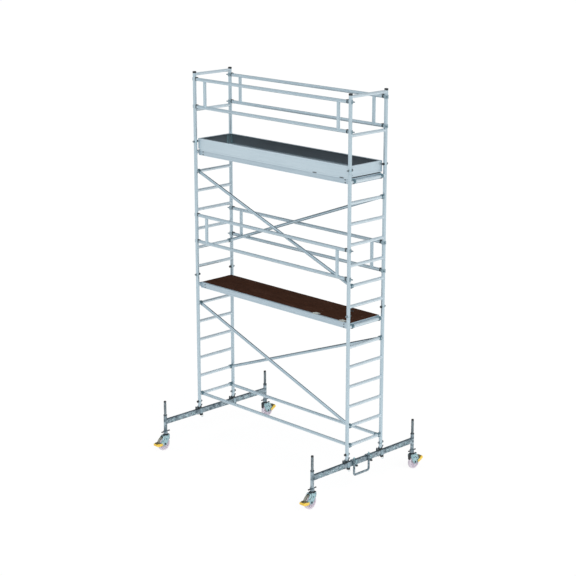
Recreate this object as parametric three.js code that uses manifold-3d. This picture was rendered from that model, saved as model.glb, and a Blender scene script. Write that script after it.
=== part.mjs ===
// Mobile aluminium scaffold tower on four adjustable castors.
// Millimetres, +Z up. Origin: on the ground, in the middle of the tower. X runs along the
// platforms, Y across them, and -Y is the front.
import * as THREE from 'three';
import { mergeVertices } from 'three/addons/utils/BufferGeometryUtils.js';
import Module from 'manifold-3d';

const wasm = await Module();
wasm.setup();

// ---------------------------------------------------------------- driving dimensions

const POST_X = 1515; // half the distance between the two ladder ends, axis to axis
const POST_Y = 337.5; // half the distance between the two posts of one end
const POST = { r: 25, bore: 23, sides: 8 };
const RUNG = { r: 22, bore: 19.5, sides: 8, boreSides: 4 };
const RUNG_PITCH = 280;
const FIRST_RUNG_Z = 700;
const RUNGS_PER_FRAME = 7;
const SPIGOT = { r: 22.3, bore: 20, length: 110, seat: 24 };

const BEAM = { halfWidth: 20, bottom: 392, top: 468, wall: 3 };
const POST_FOOT_Z = BEAM.top + 8;
const FRAME_JOINT_GAP = 0.6;
const BASE_FRAME_TOP = 2490;
const UPPER_FRAME_TOP = BASE_FRAME_TOP + RUNGS_PER_FRAME * RUNG_PITCH;

const GUARD = { midRailZ: 4949, topRailZ: 5453, topZ: 5488, railR: 22, railBore: 19.5 };

const RAIL = { r: 23.5, bore: 21, sides: 8, boreSides: 6, endX: 1472, uprightX: 1300 };
const GUARDRAIL_ABOVE_RUNG = [658, 1046]; // lower and upper rail over the platform's rung

const BRACE = { r: 22, bore: 19.5, sides: 8, boreSides: 6, y: 290, endGap: 44 };
const CLAW = { inner: 24.2, outer: 32, halfWidth: 19, neck: 5 };

const DECK = {
  endX: 1488, halfWidth: 300, half: 40, wall: 3, lip: 28, ledgeZ: 24, ledge: 45,
  panelThickness: 12, hookY: 266,
};
const JOIST = { halfWidth: 9, depth: 26, x: [-960, -430, 100] };
const HATCH = { x0: 790, x1: 1390, y0: -268, y1: 212, gap: 3 };
const HINGE = {
  x: [841, 1338], halfLength: 45, y: -272, above: 5.3, pinR: 3, boreR: 3.7, r: 5, leaf: 2.5,
  reach: 6.5,
};

const TOE_BOARD = { height: 150, thickness: 25, wall: 3, above: 12, outerY: 311, endX: 1488 };

const CASTOR_Y = 1005;
const SLEEVE = { r: 25, bore: 20.4, bottom: 292, top: 534, sides: 10 };
const SPINDLE = { r: 18.5, top: 748, flangeR: 42, flangeTop: 234, flangeBottom: 226 };
const KING_PIN = { r: 8, headR: 13, headTop: 209, headBottom: 203 };
const NUT = {
  r: 29, bore: 20.6, bottom: 246, top: 291.5, handleR: 7, handleZ: 279, handleReach: 75,
};

const WHEEL = { r: 100, halfWidth: 22, hubHalf: 27, hubR: 24, bore: 8.8, trail: 40 };
const AXLE = { r: 8, headR: 13, headAt: 36, headLength: 8 };
const FORK = { crownTop: 225, crownBottom: 217, halfWidth: 34, cheek: 4, axleHole: 9, pinHole: 9.2 };
const PEDAL = {
  pivotOut: 102, pivotZ: 108, pinR: 6, holeR: 6.9, cheekIn: 39.5, cheek: 4,
  upDeg: 24, downDeg: 2,
};

const STEP = { x: 1553, r: 15, bendR: 40, legs: [-232, 60], bottomZ: 262, topZ: 478 };

// ---------------------------------------------------------------- solid helpers

// A closed three.js geometry as a solid for the boolean operations.
function toSolid(geometry) {
  geometry.deleteAttribute('normal');
  geometry.deleteAttribute('uv');
  const merged = mergeVertices(geometry, 1e-4);
  return new wasm.Manifold(new wasm.Mesh({
    numProp: 3,
    vertProperties: new Float32Array(merged.attributes.position.array),
    triVerts: new Uint32Array(merged.index.array),
  }));
}

function toGeometry(solid) {
  const mesh = solid.getMesh();
  const geometry = new THREE.BufferGeometry();
  geometry.setAttribute('position', new THREE.BufferAttribute(mesh.vertProperties, 3));
  geometry.setIndex(new THREE.BufferAttribute(mesh.triVerts, 1));
  geometry.computeVertexNormals();
  return geometry;
}

const join = (solids) => solids.reduce((sum, solid) => sum.add(solid));
const cut = (solid, tools) => tools.reduce((rest, tool) => rest.subtract(tool), solid);

function box(x0, x1, y0, y1, z0, z1) {
  const geometry = new THREE.BoxGeometry(x1 - x0, y1 - y0, z1 - z0);
  geometry.translate((x0 + x1) / 2, (y0 + y1) / 2, (z0 + z1) / 2);
  return toSolid(geometry);
}

// A round bar between two points.
function rod(from, to, radius, sides) {
  const start = new THREE.Vector3(...from);
  const end = new THREE.Vector3(...to);
  const direction = end.clone().sub(start);
  const geometry = new THREE.CylinderGeometry(radius, radius, direction.length(), sides);
  geometry.rotateY(Math.PI / sides);
  const turn = new THREE.Quaternion().setFromUnitVectors(new THREE.Vector3(0, 1, 0), direction.normalize());
  geometry.applyQuaternion(turn);
  geometry.translate(...start.add(end).multiplyScalar(0.5).toArray());
  return toSolid(geometry);
}

// An outline of [a, b] points swept along one axis: along X the points are (y, z), along Y
// they are (x, z) and along Z they are (x, y).
const SWEEPS = {
  x: { basis: [[0, 1, 0], [0, 0, 1], [1, 0, 0]], sign: 1 },
  y: { basis: [[1, 0, 0], [0, 0, 1], [0, -1, 0]], sign: -1 },
  z: { basis: [[1, 0, 0], [0, 1, 0], [0, 0, 1]], sign: 1 },
};

function sweep(points, axis, from, to) {
  const shape = new THREE.Shape(points.map(([a, b]) => new THREE.Vector2(a, b)));
  const geometry = new THREE.ExtrudeGeometry(shape, { depth: to - from, bevelEnabled: false });
  const { basis, sign } = SWEEPS[axis];
  const vectors = basis.map((v) => new THREE.Vector3(...v));
  geometry.applyMatrix4(new THREE.Matrix4().makeBasis(...vectors));
  const shift = { x: 0, y: 0, z: 0 };
  shift[axis] = sign > 0 ? from : to;
  geometry.translate(shift.x, shift.y, shift.z);
  return toSolid(geometry);
}

// Points of an arc, angles in degrees.
function arc(cx, cy, radius, fromDeg, toDeg, steps) {
  return Array.from({ length: steps + 1 }, (_, i) => {
    const angle = THREE.MathUtils.degToRad(fromDeg + ((toDeg - fromDeg) * i) / steps);
    return [cx + radius * Math.cos(angle), cy + radius * Math.sin(angle)];
  });
}

// A bent strip: an inner and an outer arc joined into one closed outline.
function hookOutline(cx, cy, inner, outer, fromDeg, toDeg, steps) {
  return [...arc(cx, cy, outer, fromDeg, toDeg, steps), ...arc(cx, cy, inner, toDeg, fromDeg, steps)];
}

// A turned solid about the vertical line through (x, y), from [radius, z] points.
function turned(points, sides, x = 0, y = 0) {
  const geometry = new THREE.LatheGeometry(points.map(([r, z]) => new THREE.Vector2(r, z)), sides);
  geometry.rotateX(Math.PI / 2);
  geometry.rotateZ(Math.PI / 2 + Math.PI / sides);
  geometry.translate(x, y, 0);
  return toSolid(geometry);
}

// ---------------------------------------------------------------- materials and scene

const FINISHES = {
  aluminium: { color: 0xc4d1d8, roughness: 0.38, metalness: 0.85 },
  galvanised: { color: 0x8a989f, roughness: 0.55, metalness: 0.7 },
  zinc: { color: 0xa6c3c9, roughness: 0.4, metalness: 0.75 },
  screw: { color: 0x76838a, roughness: 0.45, metalness: 0.8 },
  castIron: { color: 0x5c676c, roughness: 0.6, metalness: 0.6 },
  lowerPly: { color: 0x38241c, roughness: 0.7, metalness: 0 },
  upperPly: { color: 0x47454b, roughness: 0.7, metalness: 0 },
  nylon: { color: 0xe4dfe3, roughness: 0.5, metalness: 0 },
  yellow: { color: 0xe9c043, roughness: 0.45, metalness: 0 },
};

const tower = new THREE.Group();

function addPart(name, solid, finish, parent = tower) {
  const mesh = new THREE.Mesh(toGeometry(solid), new THREE.MeshStandardMaterial(FINISHES[finish]));
  mesh.name = name;
  parent.add(mesh);
  return mesh;
}

const rungZ = (index) => FIRST_RUNG_Z + index * RUNG_PITCH;
const LOWER_DECK_RUNG = rungZ(RUNGS_PER_FRAME - 1);
const UPPER_DECK_RUNG = rungZ(2 * RUNGS_PER_FRAME - 1);

// ---------------------------------------------------------------- end frames

// Two hollow posts with hollow cross tubes welded between them. A frame that carries
// another one above it ends in two spigots.
function endFrame(bottomZ, topZ, crossZs, cross, withSpigots) {
  const outer = [];
  const hollow = [];
  for (const y of [-POST_Y, POST_Y]) {
    outer.push(rod([0, y, bottomZ], [0, y, topZ], POST.r, POST.sides));
    if (withSpigots) {
      hollow.push(rod([0, y, bottomZ - 1], [0, y, topZ - SPIGOT.seat], POST.bore, POST.sides));
      hollow.push(rod([0, y, bottomZ], [0, y, topZ + SPIGOT.length + 1], SPIGOT.bore, POST.sides));
      outer.push(rod([0, y, topZ - SPIGOT.seat], [0, y, topZ + SPIGOT.length], SPIGOT.r, POST.sides));
    } else {
      hollow.push(rod([0, y, bottomZ - 1], [0, y, topZ + 1], POST.bore, POST.sides));
    }
  }
  for (const z of crossZs) {
    outer.push(rod([0, -POST_Y, z], [0, POST_Y, z], cross.r, RUNG.sides));
    hollow.push(rod([0, -POST_Y, z], [0, POST_Y, z], cross.bore, RUNG.boreSides));
  }
  return cut(join(outer), [join(hollow)]);
}

const frameRungs = (first) => Array.from({ length: RUNGS_PER_FRAME }, (_, i) => rungZ(first + i));
const guardRails = { r: GUARD.railR, bore: GUARD.railBore };

for (const [side, x] of [['left', -POST_X], ['right', POST_X]]) {
  const base = endFrame(POST_FOOT_Z, BASE_FRAME_TOP, frameRungs(0), RUNG, true);
  const upper = endFrame(
    BASE_FRAME_TOP + FRAME_JOINT_GAP, UPPER_FRAME_TOP, frameRungs(RUNGS_PER_FRAME), RUNG, true,
  );
  const guard = endFrame(
    UPPER_FRAME_TOP + FRAME_JOINT_GAP, GUARD.topZ, [GUARD.midRailZ, GUARD.topRailZ], guardRails, false,
  );
  addPart(`base_frame_${side}`, base, 'aluminium').position.x = x;
  addPart(`upper_frame_${side}`, upper, 'aluminium').position.x = x;
  addPart(`guard_frame_${side}`, guard, 'aluminium').position.x = x;
}

// ---------------------------------------------------------------- braces

// A claw that hooks over a rung from above: a neck towards the tube and a bent jaw. `side`
// is the end of the tower it sits at, -1 or 1, and `slope` is the rise of the tube per
// millimetre along X.
function clawWithNeck(x, z, side, slope) {
  const jaw = hookOutline(0, 0, CLAW.inner, CLAW.outer, -50, 198, 7);
  const neck = [[-27, -8], [-26, 8], [-40, 19.8], [-58, 19.8], [-58, -19.8], [-40, -19.8]];
  const place = ([a, b]) => [x + side * a, z + b];
  const tilt = ([a, b]) => [x + side * a, z + b + (a < -30 ? side * slope * a : 0)];
  const jawSolid = sweep(jaw.map(place), 'y', -CLAW.halfWidth, CLAW.halfWidth);
  return jawSolid.add(sweep(neck.map(tilt), 'y', -CLAW.neck, CLAW.neck));
}

// A hollow tube with a claw at each end, from the rung at zLeft to the one at zRight.
function brace(zLeft, zRight) {
  const slope = (zRight - zLeft) / (2 * POST_X);
  const ends = [-1, 1].map((side) => {
    const x = side * (POST_X - BRACE.endGap);
    return [x, 0, (zLeft + zRight) / 2 + slope * x];
  });
  const over = ends.map(([x, y, z]) => [x + Math.sign(x), y, z + Math.sign(x) * slope]);
  const tube = rod(ends[0], ends[1], BRACE.r, BRACE.sides);
  const hollow = rod(over[0], over[1], BRACE.bore, BRACE.boreSides);
  const claws = [clawWithNeck(-POST_X, zLeft, -1, slope), clawWithNeck(POST_X, zRight, 1, slope)];
  return join([cut(tube, [hollow]), ...claws]);
}

const BRACES = [
  ['base_brace_front', -1, 0, 0],
  ['base_brace_rear', 1, 0, 0],
  ['lower_diagonal_front', -1, 5, 1],
  ['lower_diagonal_rear', 1, 1, 5],
  ['upper_diagonal_front', -1, 12, 8],
  ['upper_diagonal_rear', 1, 8, 12],
];
for (const [name, front, leftRung, rightRung] of BRACES) {
  addPart(name, brace(rungZ(leftRung), rungZ(rightRung)), 'aluminium').position.y = front * BRACE.y;
}

// ---------------------------------------------------------------- guardrails

// The claw at a rail's end goes round the inner side of the post and ends in a point.
// Drawn for the front rail's right end, at the post's axis.
function postClaw(side, inward) {
  const jaw = hookOutline(0, 0, POST.r + 2.6, POST.r + 9, 165, -25, 5);
  const tip = [[27, 12], [54, 24], [48, 28], [22, 26]];
  const neck = [[-56, -5], [-28.6, -5], [-27.8, 5], [-31, 13], [-56, 5]];
  const place = ([a, b]) => [side * (POST_X + a), inward * b];
  const sweepUp = (points, half) => sweep(points.map(place), 'z', -half, half);
  return join([sweepUp(jaw, 24), sweepUp(tip, 7), sweepUp(neck, 20.6)]);
}

// Two rails and two uprights, hooked between the posts. The origin is on the lower rail.
function guardrail(inward) {
  const height = GUARDRAIL_ABOVE_RUNG[1] - GUARDRAIL_ABOVE_RUNG[0];
  const outer = [];
  const hollow = [];
  for (const z of [0, height]) {
    outer.push(rod([-RAIL.endX, 0, z], [RAIL.endX, 0, z], RAIL.r, RAIL.sides));
    hollow.push(rod([-RAIL.endX - 1, 0, z], [RAIL.endX + 1, 0, z], RAIL.bore, RAIL.boreSides));
  }
  for (const x of [-RAIL.uprightX, RAIL.uprightX]) {
    outer.push(rod([x, 0, 0], [x, 0, height], RAIL.r, RAIL.sides));
    hollow.push(rod([x, 0, 0], [x, 0, height], RAIL.bore, RAIL.boreSides));
  }
  const claws = [-1, 1].flatMap((side) => {
    const claw = postClaw(side, inward);
    return [claw, claw.translate([0, 0, height])];
  });
  return join([cut(join(outer), [join(hollow)]), ...claws]);
}

for (const [level, deckRung] of [['lower', LOWER_DECK_RUNG], ['upper', UPPER_DECK_RUNG]]) {
  for (const [face, front] of [['front', -1], ['rear', 1]]) {
    const rail = addPart(`${level}_guardrail_${face}`, guardrail(-front), 'aluminium');
    rail.position.set(0, front * POST_Y, deckRung + GUARDRAIL_ABOVE_RUNG[0]);
  }
}

// ---------------------------------------------------------------- platforms

// The rim of a platform: a web all round with a lip on top and a ledge under the plywood.
function deckRim() {
  const { endX, halfWidth, half, wall, lip, ledge, ledgeZ } = DECK;
  const slab = (inset, z0, z1) => box(inset - endX, endX - inset, inset - halfWidth, halfWidth - inset, z0, z1);
  return cut(slab(0, -half, half), [
    slab(wall, -half - 1, ledgeZ),
    slab(ledge, ledgeZ - 1, ledgeZ + wall + 1),
    slab(wall, ledgeZ + wall, half - wall),
    slab(lip, half - wall - 1, half + 1),
  ]);
}

// The hook at a platform's corner goes over the rung; a block joins it to the frame.
function deckHook(side, y) {
  const jaw = hookOutline(0, 0, CLAW.inner, CLAW.outer - 2, -35, 172, 5);
  const block = [[-34, 0], [-25, 0], [-18, 17.5], [-28, 25.5], [-34, 25.5]];
  const place = ([a, z]) => [side * (POST_X + a), z];
  return [jaw, block].map((points) => sweep(points.map(place), 'y', y - 20, y + 20));
}

// A hinge leaf with knuckles of the given [from, to] stretches along X.
function hingeLeaf(centreX, yFrom, yTo, knuckles) {
  const axisZ = DECK.half + HINGE.above;
  const { halfLength, leaf, y, r, boreR } = HINGE;
  const plate = box(
    centreX - halfLength, centreX + halfLength, yFrom, yTo, DECK.half - 0.5, DECK.half + leaf,
  );
  const solids = [plate];
  const bores = [];
  for (const [from, to] of knuckles) {
    solids.push(rod([centreX + from, y, axisZ], [centreX + to, y, axisZ], r, 6));
    const root = yFrom < y ? [yTo - 1, y] : [y, yFrom + 1];
    solids.push(box(centreX + from, centreX + to, root[0], root[1], DECK.half + 0.2, axisZ));
    bores.push(rod([centreX + from - 1, y, axisZ], [centreX + to + 1, y, axisZ], boreR, 6));
  }
  return { solids, bores };
}

function deckFrame() {
  const { halfWidth, hookY, wall, ledgeZ } = DECK;
  const solids = [deckRim()];
  for (const side of [-1, 1]) {
    for (const y of [-hookY, hookY]) solids.push(...deckHook(side, y));
  }
  // Flat joists carry the plywood, and three more bars frame the hatch.
  const trimmers = [HATCH.x0 - 5, HATCH.x1 + 5];
  const top = ledgeZ + wall / 2;
  const bottom = top - JOIST.depth;
  const reach = halfWidth - wall / 2;
  for (const x of [...JOIST.x, ...trimmers]) {
    solids.push(box(x - JOIST.halfWidth, x + JOIST.halfWidth, -reach, reach, bottom, top));
  }
  const trimmerY = HATCH.y1 + 4;
  const y = [trimmerY - JOIST.halfWidth, trimmerY + JOIST.halfWidth];
  solids.push(box(...trimmers, ...y, bottom + 1, top - 1));
  // The hatch's hinges are fixed to the front lip.
  const bores = [];
  for (const x of HINGE.x) {
    const leaf = hingeLeaf(x, 2 - halfWidth, HINGE.y - HINGE.reach, [[-45, -17], [17, 45]]);
    solids.push(...leaf.solids);
    bores.push(...leaf.bores);
  }
  return cut(join(solids), bores);
}

function deckPanel() {
  const x = DECK.endX - DECK.lip - 1;
  const y = DECK.halfWidth - DECK.lip - 1;
  const x0 = HATCH.x0 - HATCH.gap;
  const x1 = HATCH.x1 + HATCH.gap;
  const y1 = HATCH.y1 + HATCH.gap;
  const outline = [[-x, -y], [x0, -y], [x0, y1], [x1, y1], [x1, -y], [x, -y], [x, y], [-x, y]];
  return sweep(outline, 'z', DECK.half - DECK.panelThickness, DECK.half);
}

function hatch() {
  const top = DECK.half;
  const solids = [box(HATCH.x0, HATCH.x1, HATCH.y0, HATCH.y1, top - DECK.panelThickness, top)];
  const bores = [];
  for (const x of HINGE.x) {
    const leaf = hingeLeaf(x, HINGE.y + HINGE.reach, HINGE.y + 50, [[-16, 16]]);
    solids.push(...leaf.solids);
    bores.push(...leaf.bores);
  }
  // A hand hole at the edge away from the hinge.
  const handHole = box(1050, 1130, HATCH.y1 - 55, HATCH.y1 - 25, top - 20, top + 1);
  return cut(join(solids), [...bores, handHole]);
}

function hingePin() {
  const z = DECK.half + HINGE.above;
  const reach = HINGE.halfLength + 4;
  return rod([HINGE.x[0] - reach, HINGE.y, z], [HINGE.x[1] + reach, HINGE.y, z], HINGE.pinR, 6);
}

for (const [level, deckRung] of [['lower', LOWER_DECK_RUNG], ['upper', UPPER_DECK_RUNG]]) {
  const plywood = `${level}Ply`;
  const platform = new THREE.Group();
  platform.position.z = deckRung;
  tower.add(platform);
  addPart(`${level}_deck_frame`, deckFrame(), 'aluminium', platform);
  addPart(`${level}_deck_panel`, deckPanel(), plywood, platform);
  addPart(`${level}_hatch`, hatch(), plywood, platform);
  addPart(`${level}_hatch_pin`, hingePin(), 'screw', platform);
}

// ---------------------------------------------------------------- toe boards

// A channel on edge: a flat outer face with a flange along its top and its bottom.
function toeBoardOutline(at, inward) {
  const { height, thickness, wall } = TOE_BOARD;
  return [
    [0, 0], [thickness, 0], [thickness, wall], [wall, wall],
    [wall, height - wall], [thickness, height - wall], [thickness, height], [0, height],
  ].map(([depth, z]) => [at + inward * depth, z]);
}

const toeBoards = new THREE.Group();
toeBoards.position.z = UPPER_DECK_RUNG + DECK.half + TOE_BOARD.above;
tower.add(toeBoards);
const toeEndY = TOE_BOARD.outerY - TOE_BOARD.thickness - 1;
for (const [name, side] of [['front', -1], ['rear', 1]]) {
  const outline = toeBoardOutline(side * TOE_BOARD.outerY, -side);
  const board = sweep(outline, 'x', -TOE_BOARD.endX, TOE_BOARD.endX);
  addPart(`toe_board_${name}`, board, 'aluminium', toeBoards);
}
for (const [name, side] of [['left', -1], ['right', 1]]) {
  const board = sweep(toeBoardOutline(side * TOE_BOARD.endX, -side), 'y', -toeEndY, toeEndY);
  addPart(`toe_board_${name}`, board, 'aluminium', toeBoards);
}

// ---------------------------------------------------------------- rolling beams

const SLOT = { first: 475, pitch: 130, perEnd: 4, halfLength: 30, halfHeight: 15 };

// A punched slot right through the beam, along X.
function beamSlot(y) {
  const z = (BEAM.bottom + BEAM.top) / 2;
  const { halfLength: a, halfHeight: b } = SLOT;
  return box(-BEAM.halfWidth - 1, BEAM.halfWidth + 1, y - a, y + a, z - b, z + b);
}

// The beam is a rectangular tube with a vertical sleeve welded on each end.
function rollingBeam() {
  const { halfWidth, bottom, top, wall } = BEAM;
  const reach = CASTOR_Y - 13;
  const solids = [box(-halfWidth, halfWidth, -reach, reach, bottom, top)];
  const inner = CASTOR_Y - SLEEVE.r - 2;
  const tools = [box(wall - halfWidth, halfWidth - wall, -inner, inner, bottom + wall, top - wall)];
  for (const y of [-CASTOR_Y, CASTOR_Y]) {
    solids.push(rod([0, y, SLEEVE.bottom], [0, y, SLEEVE.top], SLEEVE.r, SLEEVE.sides));
    tools.push(rod([0, y, SLEEVE.bottom - 1], [0, y, SLEEVE.top + 1], SLEEVE.bore, SLEEVE.sides));
  }
  for (const end of [-1, 1]) {
    for (let i = 0; i < SLOT.perEnd; i += 1) tools.push(beamSlot(end * (SLOT.first + i * SLOT.pitch)));
  }
  return cut(join(solids), tools);
}

// The clamp that joins a post to the beam: a strap round the beam, a spigot up into the
// post, a locking bolt beside it and the stub of the tightening screw below.
function beamClamp() {
  const { halfWidth, bottom, top } = BEAM;
  const gap = 0.4;
  const cheek = halfWidth + gap;
  const strap = [
    box(-30, 30, -72, 48, top + gap, top + 6),
    box(-cheek - 5, -cheek, -22, 48, bottom - 10, top + 1),
    box(cheek, cheek + 5, -22, 48, bottom - 10, top + 1),
    box(-cheek - 5, cheek + 5, -22, 48, bottom - 10, bottom - gap),
  ];
  const foot = top + 6;
  const spigot = rod([0, 0, foot - 1], [0, 0, foot + SPIGOT.length], SPIGOT.r, POST.sides);
  const hollow = rod([0, 0, foot], [0, 0, foot + SPIGOT.length + 1], SPIGOT.bore, POST.sides);
  const bolt = rod([0, -58, foot - 1], [0, -58, foot + 26], 9, 6);
  const screw = rod([0, 28, bottom - 40], [0, 28, bottom - 5], 6, 6);
  return cut(join([...strap, spigot, bolt, screw]), [hollow]);
}

// A U-shaped foot step under the beam, held by a hooked plate and a screw at each leg.
function footStep() {
  const { x, r, bendR, legs, bottomZ, topZ } = STEP;
  const [left, right] = legs;
  const bendZ = bottomZ + bendR;
  const path = new THREE.CurvePath();
  const at = (y, z) => new THREE.Vector3(x, y, z);
  path.add(new THREE.LineCurve3(at(left, topZ), at(left, bendZ)));
  const bend = (...points) => new THREE.QuadraticBezierCurve3(...points.map(([y, z]) => at(y, z)));
  path.add(bend([left, bendZ], [left, bottomZ], [left + bendR, bottomZ]));
  path.add(new THREE.LineCurve3(at(left + bendR, bottomZ), at(right - bendR, bottomZ)));
  path.add(bend([right - bendR, bottomZ], [right, bottomZ], [right, bendZ]));
  path.add(new THREE.LineCurve3(at(right, bendZ), at(right, topZ)));
  const section = new THREE.Shape(arc(0, 0, r, 0, 300, 5).map(([a, b]) => new THREE.Vector2(a, b)));
  const tube = new THREE.ExtrudeGeometry(section, { steps: 15, extrudePath: path, bevelEnabled: false });
  const solids = [toSolid(tube)];
  const outer = POST_X + BEAM.halfWidth + 0.5;
  const inner = POST_X - BEAM.halfWidth - 0.5;
  for (const leg of legs) {
    solids.push(box(outer, x, leg - 18, leg + 82, BEAM.top - 66, BEAM.top + 5.4));
    solids.push(box(inner - 5, x, leg - 18, leg + 50, BEAM.top + 0.4, BEAM.top + 5.4));
    solids.push(box(inner - 5, inner, leg - 18, leg + 50, BEAM.top - 40, BEAM.top + 1));
    solids.push(box(outer - 25, outer + 6, leg + 56, leg + 82, BEAM.bottom - 6, BEAM.bottom - 0.5));
    solids.push(box(outer, outer + 6, leg + 56, leg + 82, BEAM.bottom - 6, BEAM.top - 60));
    const screw = [outer + 3, leg + 69, BEAM.bottom - 3];
    solids.push(rod(screw, [screw[0], screw[1], BEAM.bottom - 28], 6, 6));
  }
  return join(solids);
}

for (const [side, x] of [['left', -POST_X], ['right', POST_X]]) {
  addPart(`rolling_beam_${side}`, rollingBeam(), 'galvanised').position.x = x;
  for (const [face, y] of [['front', -POST_Y], ['rear', POST_Y]]) {
    addPart(`beam_clamp_${face}_${side}`, beamClamp(), 'castIron').position.set(x, y, 0);
  }
}
addPart('foot_step', footStep(), 'galvanised');

// ---------------------------------------------------------------- castors
// Each castor is drawn with its wheel trailing towards +Y from the spindle's axis.

function spindle() {
  const { r, top, flangeR, flangeTop, flangeBottom } = SPINDLE;
  const { r: pinR, headR, headTop, headBottom } = KING_PIN;
  const profile = [
    [0, headBottom], [headR, headBottom], [headR, headTop], [pinR, headTop], [pinR, flangeBottom],
    [flangeR, flangeBottom], [flangeR, flangeTop], [r, flangeTop], [r, top], [0, top],
  ];
  return turned(profile, 10);
}

function spindleNut() {
  const { r, bore, bottom, top, handleR, handleZ, handleReach } = NUT;
  const body = rod([0, 0, bottom], [0, 0, top], r, 6);
  const handle = rod([0, -handleReach, handleZ], [0, handleReach, handleZ], handleR, 6);
  return cut(body.add(handle), [rod([0, 0, bottom - 1], [0, 0, top + 1], bore, 8)]);
}

// The fork: a crown plate under the swivel head, two cheeks, a curved guard strap outside
// the wheel and two pins for the brake pedal.
function fork() {
  const { crownTop, crownBottom, halfWidth, cheek, axleHole, pinHole } = FORK;
  const axleY = WHEEL.trail;
  const cheekOutline = [
    [-42, crownTop], [58, crownTop], [116, 122], [116, 98], [60, 84], [24, 80], [-42, 190],
  ];
  const guardFrom = 76;
  const guard = hookOutline(axleY, WHEEL.r, 107, 111, 8, guardFrom, 4);
  const solids = [
    box(-halfWidth, halfWidth, -42, 58, crownBottom, crownTop),
    sweep(cheekOutline, 'x', -halfWidth, cheek - halfWidth),
    sweep(cheekOutline, 'x', halfWidth - cheek, halfWidth),
    sweep(guard, 'x', -24, 24),
    box(-24, 24, 50, 68, 206, crownBottom + 2),
  ];
  for (const side of [-1, 1]) {
    const inner = side * (halfWidth - 1);
    const outer = side * (PEDAL.cheekIn + PEDAL.cheek + 3);
    const pin = [inner, outer].map((x) => [x, PEDAL.pivotOut, PEDAL.pivotZ]);
    solids.push(rod(...pin, PEDAL.pinR, 6));
  }
  const holes = [
    rod([0, 0, crownBottom - 1], [0, 0, crownTop + 1], pinHole, 8),
    rod([-halfWidth - 1, axleY, WHEEL.r], [halfWidth + 1, axleY, WHEEL.r], axleHole, 8),
  ];
  return cut(join(solids), holes);
}

// The pedal: two cheeks outside the fork, a tread across their ends and a lip below it.
function brakePedal(pitchDeg) {
  const { cheekIn, cheek, holeR } = PEDAL;
  const outline = [[-22, -22], [8, -32], [82, -28], [95, -22], [95, 12], [88, 17], [-12, 14]];
  const solids = [
    sweep(outline, 'x', -cheekIn - cheek, -cheekIn),
    sweep(outline, 'x', cheekIn, cheekIn + cheek),
    box(-cheekIn - 1, cheekIn + 1, 54, 94, 11, 16),
    box(-cheekIn - 1, cheekIn + 1, 90, 94, -18, 14),
  ];
  const reach = cheekIn + cheek + 1;
  const pedal = cut(join(solids), [rod([-reach, 0, 0], [reach, 0, 0], holeR, 6)]);
  return pedal.rotate([pitchDeg, 0, 0]).translate([0, PEDAL.pivotOut, PEDAL.pivotZ]);
}

// A wheel about the X axis, centred on its hub.
function wheel() {
  const { r, halfWidth: w, hubHalf, hubR, bore } = WHEEL;
  const half = [[bore, hubHalf], [hubR, hubHalf], [r - 25, 11], [r - 22, w], [r, w - 4]];
  const otherHalf = half.map(([radius, offset]) => [radius, -offset]).reverse();
  const closed = [...half, ...otherHalf, half[0]].reverse();
  const geometry = new THREE.LatheGeometry(closed.map(([a, b]) => new THREE.Vector2(a, b)), 16);
  geometry.rotateZ(Math.PI / 2);
  return toSolid(geometry);
}

function axle() {
  const { r, headR, headAt, headLength } = AXLE;
  const shaft = rod([-headAt - 1, 0, 0], [headAt + 1, 0, 0], r, 6);
  const heads = [-1, 1].map((side) => (
    rod([side * headAt, 0, 0], [side * (headAt + headLength), 0, 0], headR, 6)
  ));
  return join([shaft, ...heads]);
}

const CORNERS = [
  ['front_left', -1, -1], ['front_right', 1, -1], ['rear_left', -1, 1], ['rear_right', 1, 1],
];
for (const [corner, sideX, sideY] of CORNERS) {
  const castor = new THREE.Group();
  castor.position.set(sideX * POST_X, sideY * CASTOR_Y, 0);
  castor.rotation.z = sideY > 0 ? 0 : Math.PI;
  tower.add(castor);
  addPart(`spindle_${corner}`, spindle(), 'screw', castor);
  addPart(`spindle_nut_${corner}`, spindleNut(), 'castIron', castor);
  addPart(`castor_fork_${corner}`, fork(), 'zinc', castor);
  // The front brakes are trodden down and the rear ones are up.
  const pitch = sideY > 0 ? PEDAL.upDeg : PEDAL.downDeg;
  addPart(`brake_pedal_${corner}`, brakePedal(pitch), 'yellow', castor);
  addPart(`wheel_${corner}`, wheel(), 'nylon', castor).position.set(0, WHEEL.trail, WHEEL.r);
  addPart(`wheel_axle_${corner}`, axle(), 'screw', castor).position.set(0, WHEEL.trail, WHEEL.r);
}

export default tower;
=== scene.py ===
import math

import bpy
from mathutils import Matrix, Vector
from mathutils.geometry import tessellate_polygon


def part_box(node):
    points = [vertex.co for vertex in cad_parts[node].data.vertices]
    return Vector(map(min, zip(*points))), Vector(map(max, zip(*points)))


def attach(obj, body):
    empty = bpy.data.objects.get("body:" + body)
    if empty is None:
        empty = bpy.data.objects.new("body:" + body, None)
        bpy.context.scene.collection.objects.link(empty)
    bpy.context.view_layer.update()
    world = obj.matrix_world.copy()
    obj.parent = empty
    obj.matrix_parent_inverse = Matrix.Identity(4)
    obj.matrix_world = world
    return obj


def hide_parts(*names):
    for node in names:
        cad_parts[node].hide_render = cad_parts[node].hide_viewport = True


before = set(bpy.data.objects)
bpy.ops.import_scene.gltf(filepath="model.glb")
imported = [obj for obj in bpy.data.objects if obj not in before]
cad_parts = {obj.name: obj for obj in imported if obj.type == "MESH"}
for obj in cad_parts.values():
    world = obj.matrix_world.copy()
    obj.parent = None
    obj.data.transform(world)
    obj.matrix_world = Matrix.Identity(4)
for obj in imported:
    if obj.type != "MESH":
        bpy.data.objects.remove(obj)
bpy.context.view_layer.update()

# Sizes are in millimetres until a piece is made, in the frame of the CAD: X along the
# platforms, Y across them, -Y is the front.
MM = 0.001


def cad_box(node):
    """The lowest and highest corner of a CAD node, in millimetres."""
    return [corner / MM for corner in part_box(node)]


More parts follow.
